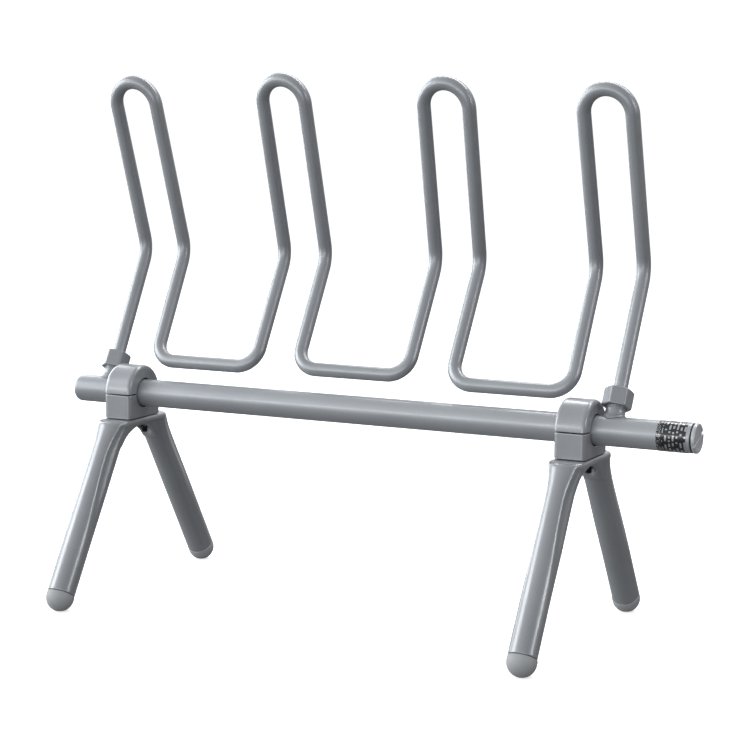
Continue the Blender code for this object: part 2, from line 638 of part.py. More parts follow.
def leg_mesh(name, side):
    """Loft one leg from the foot's joint to above the saddle; side is -1 for the front."""
    down = Vector((0.0, side * sin(LEG_LEAN), -cos(LEG_LEAN)))
    across = Vector((0.0, side * cos(LEG_LEAN), sin(LEG_LEAN)))
    foot = Vector((0.0, side * FOOT_SPREAD, -FOOT_DROP))
    drops = (50.0, 36.0, 26.0, 16.0, 0.0)
    stations = [FOOT_SEAM + GAP, 60.0 * MM] + [leg_length() - drop * MM for drop in drops]
    bm = bmesh.new()
    rings = []
    for reach in stations:
        rings.append([bm.verts.new(foot - down * reach + Vector((x, 0, 0)) + across * v)
                      for x, v in leg_section(reach)])
    for low, high in zip(rings, rings[1:]):
        for a in range(len(low)):
            b = (a + 1) % len(low)
            bm.faces.new((low[a], low[b], high[b], high[a]))
    bm.faces.new(rings[0])
    bm.faces.new(rings[-1])
    return mesh_from(name, bm)


def web_mesh(name):
    """Arch between the two legs, narrowing downward."""
    centre = SADDLE_UNDERSIDE - ARCH_RADIUS
    foot_angle = 90.0 - 58.0
    under = arc((0.0, centre), ARCH_RADIUS, foot_angle, 180.0 - foot_angle, 12)
    outline = [(-34.0 * MM, -CLAMP_DEPTH_BELOW + 6.0 * MM), (34.0 * MM, -CLAMP_DEPTH_BELOW + 6.0 * MM),
               (36.0 * MM, -40.0 * MM)] + under + [(-36.0 * MM, -40.0 * MM)]
    bm = bmesh.new()
    sides = []
    for sign in (-1.0, 1.0):
        row = []
        for y, z in outline:
            drop = max(0.0, SADDLE_UNDERSIDE - z)
            half = SADDLE_HALF_WIDTH - min(5.0 * MM, 0.33 * drop)
            row.append(bm.verts.new((sign * half, y, z)))
        sides.append(row)
    for a in range(len(outline)):
        b = (a + 1) % len(outline)
        bm.faces.new((sides[0][a], sides[0][b], sides[1][b], sides[1][a]))
    bm.faces.new(sides[0])
    bm.faces.new(sides[1])
    return mesh_from(name, bm)


def build_leg_frame(side_name, pivot):
    """Moulded frame: a saddle, an arch and two legs, with pockets for the nuts and spigots for the feet."""
    frame = add_object(side_name + "_leg_frame", leg_mesh("front leg", -1), "silver moulding", pivot)
    combine(frame, cutter("rear leg", leg_mesh("rear leg", 1), pivot), "UNION")
    combine(frame, cutter("web", web_mesh("web"), pivot), "UNION")
    level = -CLAMP_DEPTH_BELOW - GAP
    top = box_mesh("top", (-40.0 * MM, -90.0 * MM, level), (40.0 * MM, 90.0 * MM, 30.0 * MM))
    combine(frame, cutter("top", top, pivot), "DIFFERENCE")
    for side in (-1, 1):
        y = side * STUD_SPACING
        hole = (pivot.location.x, y, TUBE_HEIGHT - 25.0 * MM)
        drill(frame, hole, (0, 0, 1), STUD_RADIUS + GAP, 14.0 * MM, 12)
        depth = (SADDLE_UNDERSIDE - NUT_POCKET_BOTTOM) / 2.0
        drill(frame, (pivot.location.x, y, TUBE_HEIGHT + SADDLE_UNDERSIDE - depth), (0, 0, 1),
              NUT_POCKET_RADIUS, depth, 16)
        foot = Vector((pivot.location.x, side * FOOT_SPREAD, TUBE_HEIGHT - FOOT_DROP))
        down = Vector((0.0, side * sin(LEG_LEAN), -cos(LEG_LEAN)))
        socket = FOOT_SPIGOT + FOOT_SEAM + 1.5 * MM
        drill(frame, foot, down, FOOT_SPIGOT_RADIUS + GAP, socket, 16)


def build_foot(name, side, pivot):
    """Soft ball-ended foot whose spigot plugs into the leg; a small flat is where it stands."""
    outline = [(FOOT_SEAM + FOOT_SPIGOT, 0.0), (FOOT_SEAM + FOOT_SPIGOT, FOOT_SPIGOT_RADIUS - 1.0 * MM),
               (FOOT_SEAM + FOOT_SPIGOT - 1.0 * MM, FOOT_SPIGOT_RADIUS), (FOOT_SEAM, FOOT_SPIGOT_RADIUS),
               (FOOT_SEAM, LEG_RADIUS)]
    turns = [radians(angle) for angle in range(0, 90, 18)]
    outline += [(-LEG_RADIUS * sin(turn), LEG_RADIUS * cos(turn)) for turn in turns]
    outline.append((-LEG_RADIUS, 0.0))
    foot = lathe(name, outline, "foot rubber", 18, pivot)
    foot.location = (0.0, side * FOOT_SPREAD, -FOOT_DROP)
    foot.rotation_euler = (side * LEG_LEAN, 0.0, 0.0)
    below = box_mesh("floor", (-30.0 * MM, -30.0 * MM, -40.0 * MM), (30.0 * MM, 30.0 * MM, 0.0))
    tool = cutter("floor", below)
    tool.location = (pivot.location.x, side * FOOT_SPREAD, 0.0)
    combine(foot, tool, "DIFFERENCE")


def build_clamp_stud(name, side, pivot):
    """Stud fixed in the clamp cap, through the block and the saddle."""
    tip = 0.6 * MM
    profile = [(STUD_BOTTOM, 0.0), (STUD_BOTTOM, STUD_RADIUS - tip), (STUD_BOTTOM + tip, STUD_RADIUS),
               (STUD_TOP, STUD_RADIUS), (STUD_TOP, 0.0)]
    stud = lathe(name, profile, "black steel", 12, pivot)
    stud.location = (0.0, side * STUD_SPACING, 0.0)


def build_clamp_nut(name, side, pivot):
    """Hexagon nut under the saddle."""
    high = SADDLE_UNDERSIDE - GAP
    low = high - STUD_NUT_HEIGHT
    bore = [(high, STUD_RADIUS + GAP), (low, STUD_RADIUS + GAP)]
    data = hexagon_nut_mesh(name, STUD_NUT_FLATS, low, high, 0.7 * MM, bore)
    nut = add_object(name, data, "black steel", pivot, smooth=False)
    nut.location = (0.0, side * STUD_SPACING, 0.0)


def build_leg_assembly(side_name, x):
    """Everything that swings with one leg frame, about the tube's axis."""
    pivot = bpy.data.objects.new(side_name + "_leg_pivot", None)
    bpy.context.scene.collection.objects.link(pivot)
    pivot.location = (x, 0.0, TUBE_HEIGHT)
    bpy.context.view_layer.update()
    build_clamp_cap(side_name, pivot)
    build_clamp_block(side_name, pivot)
    build_clamp_liner(side_name, pivot)
    build_leg_frame(side_name, pivot)
    for end_name, end in (("front", -1), ("rear", 1)):
        build_foot(f"{side_name}_{end_name}_foot", end, pivot)
        build_clamp_stud(f"{side_name}_{end_name}_clamp_stud", end, pivot)
        build_clamp_nut(f"{side_name}_{end_name}_clamp_nut", end, pivot)


def main():
    """Build the boot dryer."""
    clear_scene()
    build_main_tube()
    build_end_plug()
    build_rating_label()
    build_coil()
    build_fittings()
    build_heater()
    for number, x in enumerate(SPACER_X, 1):
        build_heater_spacer(f"heater_spacer_{number}", x)
    build_wiring()
    for side_name, x in CLAMP_X.items():
        build_leg_assembly(side_name, x)


main()
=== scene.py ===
"""Finished look of a boot dryer: a silver radiator coil on a heated tube, standing on two swivelling legs.

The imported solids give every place. Each sub-assembly is a class that holds its own sizes, in millimetres
unless a name says otherwise, builds finer meshes over those solids and dresses them with node materials.
"""

import logging
from dataclasses import dataclass
from enum import Enum
from functools import partial
from math import acos, cos, pi, radians, sin, tan
from typing import Callable, Iterable, Sequence

import bmesh
import bpy
import numpy as np
from mathutils import Matrix, Vector


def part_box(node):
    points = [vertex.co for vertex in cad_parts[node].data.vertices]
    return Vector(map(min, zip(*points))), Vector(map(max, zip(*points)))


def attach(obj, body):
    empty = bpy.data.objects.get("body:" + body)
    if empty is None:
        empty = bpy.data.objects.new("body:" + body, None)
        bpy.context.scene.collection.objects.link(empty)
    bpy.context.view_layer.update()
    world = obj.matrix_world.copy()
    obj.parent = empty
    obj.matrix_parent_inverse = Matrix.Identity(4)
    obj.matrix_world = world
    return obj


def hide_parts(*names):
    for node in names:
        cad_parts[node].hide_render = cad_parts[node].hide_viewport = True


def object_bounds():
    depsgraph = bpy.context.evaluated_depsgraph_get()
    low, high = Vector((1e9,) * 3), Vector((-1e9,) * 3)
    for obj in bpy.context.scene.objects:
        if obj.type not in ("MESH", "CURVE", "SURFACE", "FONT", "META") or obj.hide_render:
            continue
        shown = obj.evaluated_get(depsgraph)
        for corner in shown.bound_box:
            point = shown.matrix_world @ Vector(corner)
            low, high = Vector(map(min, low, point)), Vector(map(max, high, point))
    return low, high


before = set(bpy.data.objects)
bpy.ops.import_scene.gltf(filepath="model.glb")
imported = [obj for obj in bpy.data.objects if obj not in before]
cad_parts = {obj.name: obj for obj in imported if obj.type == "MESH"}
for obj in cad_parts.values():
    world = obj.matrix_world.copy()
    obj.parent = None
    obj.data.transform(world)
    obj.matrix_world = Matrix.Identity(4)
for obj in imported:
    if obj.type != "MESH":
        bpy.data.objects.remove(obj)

CAD_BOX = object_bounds()
MM = 0.001
SMOOTH_ANGLE = 34.0
THREAD_ANGLE = 60.0
FAR_INSIDE = -1000.0
NUT_CONE = (0.5, 0.87)

Values = np.ndarray
Points = Sequence[np.ndarray]
Shape = Callable[[Points], Values]
Colour = tuple[float, float, float]
Triple = tuple[float, float, float]

log = logging.getLogger("boot_dryer")


class Side(Enum):
    """The two leg assemblies, named as seen from the front."""

    LEFT = "left"
    RIGHT = "right"


class End(Enum):
    """The two legs of one frame, with the sign of their y."""

    FRONT = -1
    REAR = 1


class Body(Enum):
    """The bodies that move on their own."""

    DRYER = "dryer"
    LEFT_LEG = "left_leg"
    RIGHT_LEG = "right_leg"


# ---------------------------------------------------------------- shapes as distances, in millimetres


def soft_max(first: Values, second: Values, blend: float | Values) -> Values:
    """Larger of two distances, rounded where the two meet.

    Args:
        first: One distance at each point.
        second: The other distance at each point.
        blend: How wide the rounding reaches.

    Returns:
        The rounded larger distance, which cuts one shape by the other.
    """
    reach = np.maximum(blend - np.abs(first - second), 0.0) / blend
    return np.maximum(first, second) + reach * reach * blend / 4.0


def soft_min(first: Values, second: Values, blend: float | Values) -> Values:
    """Smaller of two distances, with a fillet where the two shapes join."""
    return -soft_max(-first, -second, blend)


def ease(value: Values, low: float, high: float) -> Values:
    """Smooth step from 0 at low to 1 at high."""
    part = np.clip((value - low) / (high - low), 0.0, 1.0)
    return part * part * (3.0 - 2.0 * part)


def radius_of(first: Values, second: Values) -> Values:
    """Distance from an axis, given the two coordinates across it."""
    return np.sqrt(first * first + second * second)


def rounded_outline(x: Values, y: Values, half_sides: tuple[float, float], corner: float) -> Values:
    """Upright bar whose outline is a rectangle with rounded corners.

    Args:
        x: Coordinates across the bar.
        y: Coordinates along it.
        half_sides: Half of its width and half of its length.
        corner: Radius of its corners.

    Returns:
        Distance at each point.
    """
    across, along = np.abs(x) - half_sides[0] + corner, np.abs(y) - half_sides[1] + corner
    outside = radius_of(np.maximum(across, 0.0), np.maximum(along, 0.0))
    return outside + np.minimum(np.maximum(across, along), 0.0) - corner


@dataclass(frozen=True)
class HexNut:
    """Six-sided nut along z with turned corners at both ends."""

    flats: float
    low: float
    high: float
    corner_blend: float
    cone_start: float
    cone_blend: float
    face_blend: float

    def shape(self, points: Points) -> Values:
        """Nut without its bore.

        Args:
            points: Coordinates x, y and z of the points to measure.

        Returns:
            Distance at each point.
        """
        x, y, z = points
        flat = self.flats / 2.0
        sides = np.full_like(x, FAR_INSIDE)
        for turn in (0.0, pi / 3.0, 2.0 * pi / 3.0):
            sides = soft_max(sides, np.abs(x * cos(turn) + y * sin(turn)) - flat, self.corner_blend)
        past_face = np.abs(z - (self.high + self.low) / 2.0) - (self.high - self.low) / 2.0
        outward, upward = NUT_CONE
        cone = (radius_of(x, y) - flat - self.cone_start) * outward + past_face * upward
        return soft_max(soft_max(sides, cone, self.cone_blend), past_face, self.face_blend)


@dataclass
class Skin:
    """Closed mesh of quads laid over a distance function.

    The surface passes through every grid cell that the shape's boundary crosses. Its points are then drawn
    onto the boundary and take their normals from the shape, so that curved faces shine evenly.
    """

    shape: Shape
    low: Triple
    high: Triple
    step: float
    probe: float = 0.02
    passes: int = 3
    least_slope: float = 0.2
    longest_move: float = 0.6

    def crossings(self, value: Values) -> tuple[Values, Values, list[Values]]:
        """Find the cells on the boundary.

        Args:
            value: Distance at each grid node.

        Returns:
            The mean crossing of each cell, how many of its edges cross, and the crossing edges of each axis.
        """
        cells = tuple(count - 1 for count in value.shape)
        total, count, crossed = np.zeros(cells + (3,)), np.zeros(cells), []
        for axis in range(3):
            near = np.take(value, range(value.shape[axis] - 1), axis)
            far = np.take(value, range(1, value.shape[axis]), axis)
            cross = (near < 0.0) != (far < 0.0)
            part = np.where(cross, near / np.where(cross, near - far, 1.0), 0.0)
            crossed.append(cross)
            one, two = (axis + 1) % 3, (axis + 2) % 3
            for first in (0, 1):
                for second in (0, 1):
                    cut = [slice(None)] * 3
                    cut[one] = slice(first, first + cells[one])
                    cut[two] = slice(second, second + cells[two])
                    hit = cross[tuple(cut)]
                    total[..., axis] += part[tuple(cut)]
                    total[..., one] += hit * first
                    total[..., two] += hit * second
                    count += hit
        return total, count, crossed

    def quads(self, index: Values, crossed: list[Values], value: Values) -> list[tuple[int, ...]]:
        """Join the four cells round each crossing edge.

        Args:
            index: Number of each cell's point.
            crossed: Crossing edges of each axis.
            value: Distance at each grid node.

        Returns:
            Faces, each with its outside on the outside of the shape.
        """
        faces: list[tuple[int, ...]] = []
        for axis, cross in enumerate(crossed):
            one, two = (axis + 1) % 3, (axis + 2) % 3
            inner = [slice(1, -1)] * 3
            inner[axis] = slice(None)
            spots = np.argwhere(cross[tuple(inner)])
            spots[:, one] += 1
            spots[:, two] += 1
            inside = value[tuple(spots.T)] < 0.0
            ring = []
            for first, second in ((1, 1), (0, 1), (0, 0), (1, 0)):
                cell = spots.copy()
                cell[:, one] -= first
                cell[:, two] -= second
                ring.append(index[tuple(cell.T)])
            around = np.stack(ring, axis=1)
            around = np.where(inside[:, None], around, around[:, ::-1])
            faces.extend(map(tuple, around.tolist()))
        return faces

    def slope(self, points: Values) -> Values:
        """Gradient of the shape, by small differences.

        Args:
            points: One row of coordinates for each point.

        Returns:
            One row for each point.
        """
        slopes = []
        for axis in range(3):
            ahead, behind = points.copy(), points.copy()
            ahead[:, axis] += self.probe
            behind[:, axis] -= self.probe
            slopes.append((self.shape(ahead.T) - self.shape(behind.T)) / (2.0 * self.probe))
        return np.stack(slopes, axis=1)

    def mesh(self, name: str) -> bpy.types.Mesh:
        """Build the mesh, in metres.

        Args:
            name: Name of the mesh.

        Returns:
            Mesh with smooth faces and the shape's own normals.
        """
        low, high = np.array(self.low), np.array(self.high)
        counts = np.ceil((high - low) / self.step).astype(int) + 1
        axes = [low[axis] + self.step * np.arange(counts[axis]) for axis in range(3)]
        value = self.shape(np.meshgrid(*axes, indexing="ij"))
        total, count, crossed = self.crossings(value)
        active = count > 0
        index = np.full(count.shape, -1)
        index[active] = np.arange(int(active.sum()))
        points = low + self.step * (np.argwhere(active) + total[active] / count[active][:, None])
        faces = self.quads(index, crossed, value)
        furthest = self.longest_move * self.step
        for _ in range(self.passes):
            slope = self.slope(points)
            size = np.maximum((slope * slope).sum(axis=1), self.least_slope)
            points -= np.clip((self.shape(points.T) / size)[:, None] * slope, -furthest, furthest)
        slope = self.slope(points)
        normals = slope / np.maximum(np.linalg.norm(slope, axis=1), 1e-6)[:, None]
        data = bpy.data.meshes.new(name)
        data.from_pydata((points * MM).tolist(), [], faces)
        data.shade_smooth()
        data.normals_split_custom_set_from_vertices(normals.tolist())
        return data


# ---------------------------------------------------------------- meshes made ring by ring, in metres


def ring_mesh(name: str, rings: Sequence[Sequence[Vector]], closed: bool = False) -> bpy.types.Mesh:
    """Join rings of points into a tube.

    Args:
        name: Name of the mesh.
        rings: Rings with the same number of points each.
        closed: Whether the last ring joins the first. If not, both ends are filled.

    Returns:
        Smooth mesh whose faces point outward.
    """
    count = len(rings[0])
    bm = bmesh.new()
    made = [[bm.verts.new(point) for point in ring] for ring in rings]
    pairs = list(zip(made, made[1:])) + ([(made[-1], made[0])] if closed else [])
    for near, far in pairs:
        for at in range(count):
            after = (at + 1) % count
            bm.faces.new((near[at], near[after], far[after], far[at]))
    if not closed:
        bm.faces.new(made[0])
        bm.faces.new(made[-1])
    bmesh.ops.recalc_face_normals(bm, faces=bm.faces)
    data = bpy.data.meshes.new(name)
    bm.to_mesh(data)
    bm.free()
    data.shade_smooth()
    data.set_sharp_from_angle(angle=radians(SMOOTH_ANGLE))
    return data


def turned_mesh(name: str, profile: Iterable[tuple[float, float]], closed: bool = False,
                segments: int = 96) -> bpy.types.Mesh:
    """Turn a profile about local Z.

    Args:
        name: Name of the mesh.
        profile: Points of (height, radius) in millimetres.
        closed: Whether the profile is a loop, as on a ring or a sleeve.
        segments: Points round the piece.

    Returns:
        Smooth mesh with crisp turned edges.
    """
    turns = [2.0 * pi * at / segments for at in range(segments)]
    rings = [[Vector((radius * cos(turn), radius * sin(turn), height)) * MM for turn in turns]
             for height, radius in profile]
    return ring_mesh(name, rings, closed)


def swept_mesh(name: str, path: Sequence[Vector], radius: float, sides: int) -> bpy.types.Mesh:
    """Sweep a circle along a path without twist.

    Args:
        name: Name of the mesh.
        path: Points of the centre line, in metres.
        radius: Radius of the tube, in metres.
        sides: Points round the tube.

    Returns:
        Smooth tube with filled ends.
    """
    rings = []
    across = Vector((1.0, 0.0, 0.0))
    for at, point in enumerate(path):
        ahead = (path[min(at + 1, len(path) - 1)] - path[max(at - 1, 0)]).normalized()
        across = (across - ahead * across.dot(ahead)).normalized()
        other = ahead.cross(across)
        rings.append([point + radius * (cos(turn) * across + sin(turn) * other)
                      for turn in (2.0 * pi * step / sides for step in range(sides))])
    return ring_mesh(name, rings)


def round_edge(centre: tuple[float, float], radius: float, start: float, end: float,
               steps: int = 5) -> list[tuple[float, float]]:
    """Points of a rounded edge on a turned profile.

    Args:
        centre: Centre of the rounding as (height, radius from the axis).
        radius: Radius of the rounding.
        start: First angle in degrees, with 0 along the height and 90 outward.
        end: Last angle in degrees.
        steps: Number of short edges.

    Returns:
        Profile points.
    """
    turns = [radians(start + (end - start) * step / steps) for step in range(steps + 1)]
    return [(centre[0] + radius * cos(turn), centre[1] + radius * sin(turn)) for turn in turns]


# ---------------------------------------------------------------- finishes


class Wiring:
    """Node tree with short ways to add and join its nodes."""

    def __init__(self, tree: bpy.types.NodeTree, coordinates: str) -> None:
        """Start from a tree and the coordinates that its textures use."""
        self.tree = tree
        self.place = tree.nodes.new("ShaderNodeTexCoord").outputs[coordinates]

    def node(self, kind: str, **inputs: object) -> bpy.types.Node:
        """Add a node.

        Args:
            kind: Type of the node, without its common prefix.
            inputs: Values or sockets for its inputs, with _ for a space.

        Returns:
            The node.
        """
        made = self.tree.nodes.new("ShaderNode" + kind)
        for label, value in inputs.items():
            self.feed(made.inputs[label.replace("_", " ")], value)
        return made

    def feed(self, socket: bpy.types.NodeSocket, value: object) -> None:
        """Join a socket to the input, or set the input's own value.

        Args:
            socket: The input.
            value: Socket or plain value.
        """
        if isinstance(value, bpy.types.NodeSocket):
            self.tree.links.new(value, socket)
        else:
            socket.default_value = value

    def sum(self, operation: str, *values: object) -> bpy.types.NodeSocket:
        """Add a Math node.

        Args:
            operation: What it works out.
            values: Its values or sockets.

        Returns:
            Its result.
        """
        made = self.tree.nodes.new("ShaderNodeMath")
        made.operation = operation
        for socket, value in zip(made.inputs, values):
            self.feed(socket, value)
        return made.outputs[0]

    def noise(self, scale: float, detail: float = 2.0,
              stretch: Triple = (1.0, 1.0, 1.0)) -> bpy.types.NodeSocket:
        """Soft random value over the piece, stretched if asked."""
        place = self.node("Mapping", Vector=self.place, Scale=stretch).outputs[0]
        return self.node("TexNoise", Vector=place, Scale=scale, Detail=detail).outputs["Fac"]

    def between(self, value: bpy.types.NodeSocket, low: float, high: float, start: float = 0.3,
                end: float = 0.7) -> bpy.types.NodeSocket:
        """Spread a value that lies from start to end over the range from low to high."""
        spread = self.node("MapRange", Value=value, From_Min=start, From_Max=end, To_Min=low, To_Max=high)
        return spread.outputs[0]

    def colours(self, value: bpy.types.NodeSocket,
                stops: Sequence[tuple[float, Colour]]) -> bpy.types.NodeSocket:
        """Turn a value into a colour by a ramp.

        Args:
            value: Place on the ramp, from 0 to 1.
            stops: The ramp's places and their colours.

        Returns:
            The colour.
        """
        made = self.node("ValToRGB", Fac=value)
        ramp = made.color_ramp
        while len(ramp.elements) < len(stops):
            ramp.elements.new(0.5)
        for element, (at, colour) in zip(ramp.elements, stops):
            element.position = at
            element.color = (*colour, 1.0)
        return made.outputs["Color"]

    def mixed(self, share: object, first: object, second: object, mode: str = "MIX") -> bpy.types.NodeSocket:
        """Mix two colours.

        Args:
            share: How much of the second colour.
            first: First colour or socket.
            second: Second colour or socket.
            mode: How they mix.

        Returns:
            The mixed colour.
        """
        made = self.tree.nodes.new("ShaderNodeMix")
        made.data_type = "RGBA"
        made.blend_type = mode
        self.feed(made.inputs[0], share)
        for socket, value in zip((made.inputs[6], made.inputs[7]), (first, second)):
            self.feed(socket, (*value, 1.0) if isinstance(value, tuple) else value)
        return made.outputs[2]


class Dressing(Wiring):
    """Node tree of one material, over the piece's own coordinates."""

    def __init__(self, name: str) -> None:
        """Start a material with its shader.

        Args:
            name: Name of the material.
        """
        self.material = bpy.data.materials.new(name)
        self.material.use_nodes = True
        super().__init__(self.material.node_tree, "Object")
        self.shader = self.tree.nodes["Principled BSDF"]

    def relief(self, height: bpy.types.NodeSocket, strength: float, depth: float) -> bpy.types.NodeSocket:
        """Bumps of a depth in metres."""
        return self.node("Bump", Height=height, Strength=strength, Distance=depth).outputs["Normal"]

    def edges(self, start: float = 0.51, end: float = 0.56) -> bpy.types.NodeSocket:
        """Value that rises on the piece's outer edges."""
        sharp = self.tree.nodes.new("ShaderNodeNewGeometry").outputs["Pointiness"]
        return self.between(sharp, 0.0, 1.0, start, end)

    def finish(self, **sockets: object) -> bpy.types.Material:
        """Set the shader's inputs.

        Args:
            sockets: Values or sockets for the inputs, with _ for a space.

        Returns:
            The material.
        """
        for label, value in sockets.items():
            self.feed(self.shader.inputs[label.replace("_", " ")], value)
        return self.material


@dataclass(frozen=True)
class Finish:
    """A surface that one or more pieces share."""

    name: str
    slot: str
    light: Colour
    dark: Colour
    roughness: float

    def tone(self, dressing: Dressing, scale: float = 14.0) -> bpy.types.NodeSocket:
        """Slow drift between the finish's two tones."""
        return dressing.colours(dressing.noise(scale, detail=3.0), ((0.3, self.dark), (0.7, self.light)))

    def grain(self, dressing: Dressing, pattern: bpy.types.NodeSocket, smoother: float,
              rougher: float) -> bpy.types.NodeSocket:
        """Roughness that a pattern varies round the finish's own."""
        return dressing.between(pattern, self.roughness - smoother, self.roughness + rougher)

    def material(self) -> bpy.types.Material:
        """The material, made on first use."""
        return bpy.data.materials.get(self.name) or self.build(Dressing(self.name))

    def build(self, dressing: Dressing) -> bpy.types.Material:
        """Build the node material; each kind of finish has its own way."""
        raise NotImplementedError


@dataclass(frozen=True)
class MetallicPaint(Finish):
    """Glossy silver paint: fine flakes, a slight orange peel and edges rubbed a little lighter."""

    metallic: float = 0.4
    coat: float = 0.5
    coat_roughness: float = 0.1
    flake_scale: float = 2600.0
    flake_share: float = 0.45
    flake_range: tuple[float, float] = (0.86, 1.12)
    rub_share: float = 0.5
    rub_gain: float = 1.35
    peel_scale: float = 260.0
    peel_strength: float = 0.1
    peel_depth: float = 0.0002

    def build(self, dressing: Dressing) -> bpy.types.Material:
        """Build the node material.

        Args:
            dressing: Node tree to fill.

        Returns:
            The material.
        """
        flakes = dressing.node("TexVoronoi", Vector=dressing.place, Scale=self.flake_scale)
        dim, bright = ((grey,) * 3 for grey in self.flake_range)
        flake_tone = dressing.colours(flakes.outputs["Color"], ((0.2, dim), (0.8, bright)))
        base = dressing.mixed(self.flake_share, self.tone(dressing), flake_tone, "MULTIPLY")
        rubbed = tuple(min(1.0, part * self.rub_gain) for part in self.light)
        base = dressing.mixed(dressing.sum("MULTIPLY", dressing.edges(), self.rub_share), base, rubbed)
        rough = self.grain(dressing, dressing.noise(scale=35.0, detail=4.0), smoother=0.04, rougher=0.05)
        waves = dressing.noise(self.peel_scale, detail=1.0)
        peel = dressing.relief(waves, self.peel_strength, self.peel_depth)
        return dressing.finish(Base_Color=base, Roughness=rough, Normal=peel, Metallic=self.metallic,
                               Coat_Weight=self.coat, Coat_Roughness=self.coat_roughness)


@dataclass(frozen=True)
class SoftRubber(Finish):
    """Matt elastomer with a fine sandy grain and faint handling marks."""

    grain_scale: float = 1500.0
    grain_strength: float = 0.25
    grain_depth: float = 0.0002

    def build(self, dressing: Dressing) -> bpy.types.Material:
        """Build the node material.

        Args:
            dressing: Node tree to fill.

        Returns:
            The material.
        """
        marks = dressing.noise(scale=60.0, detail=5.0, stretch=(1.0, 1.0, 0.4))
        marked = dressing.between(marks, low=0.0, high=0.35, start=0.55, end=0.7)
        base = dressing.mixed(marked, self.tone(dressing, scale=40.0), self.light)
        rough = self.grain(dressing, marks, smoother=0.08, rougher=0.06)
        specks = dressing.noise(self.grain_scale, detail=3.0)
        sand = dressing.relief(specks, self.grain_strength, self.grain_depth)
        return dressing.finish(Base_Color=base, Roughness=rough, Normal=sand)


@dataclass(frozen=True)
class BlackSteel(Finish):
    """Black-oxide steel, worn brown-grey on its edges."""

    bare: Colour = (0.16, 0.15, 0.14)
    wear_share: float = 0.6
    metallic: float = 0.8

    def build(self, dressing: Dressing) -> bpy.types.Material:
        """Build the node material.

        Args:
            dressing: Node tree to fill.

        Returns:
            The material.
        """
        wear = dressing.sum("MULTIPLY", dressing.edges(start=0.52, end=0.6), self.wear_share)
        worn = dressing.mixed(wear, self.tone(dressing, scale=120.0), self.bare)
        rough = self.grain(dressing, dressing.noise(scale=300.0, detail=4.0), smoother=0.1, rougher=0.12)
        pits = dressing.relief(dressing.noise(scale=1800.0, detail=3.0), strength=0.2, depth=0.0001)
        return dressing.finish(Base_Color=worn, Roughness=rough, Normal=pits, Metallic=self.metallic)


@dataclass(frozen=True)
class TurnedMetal(Finish):
    """Bright metal with fine tool lines round the piece and a thin tarnish."""

    line_stretch: Triple = (900.0, 6.0, 6.0)

    def build(self, dressing: Dressing) -> bpy.types.Material:
        """Build the node material.

        Args:
            dressing: Node tree to fill.

        Returns:
            The material.
        """
        lines = dressing.noise(scale=4.0, detail=2.0, stretch=self.line_stretch)
        patches = dressing.noise(scale=90.0, detail=5.0)
        tarnish = dressing.between(patches, low=0.0, high=0.5, start=0.45, end=0.7)
        base = dressing.mixed(tarnish, self.tone(dressing, scale=60.0), self.dark)
        rough = self.grain(dressing, lines, smoother=0.06, rougher=0.1)
        return dressing.finish(Base_Color=base, Roughness=rough, Metallic=1.0,
                               Normal=dressing.relief(lines, strength=0.3, depth=0.00005))


@dataclass(frozen=True)
class Ceramic(Finish):
    """Unglazed ceramic with pores and a few fired specks."""

    def build(self, dressing: Dressing) -> bpy.types.Material:
        """Build the node material.

        Args:
            dressing: Node tree to fill.

        Returns:
            The material.
        """
        spots = dressing.noise(scale=700.0, detail=2.0)
        specks = dressing.between(spots, low=0.0, high=0.6, start=0.62, end=0.72)
        base = dressing.mixed(specks, self.tone(dressing, scale=80.0), self.dark)
        rough = self.grain(dressing, dressing.noise(scale=220.0, detail=3.0), smoother=0.08, rougher=0.08)
        pores = dressing.relief(dressing.noise(scale=1400.0, detail=4.0), strength=0.4, depth=0.0001)
        return dressing.finish(Base_Color=base, Roughness=rough, Normal=pores)


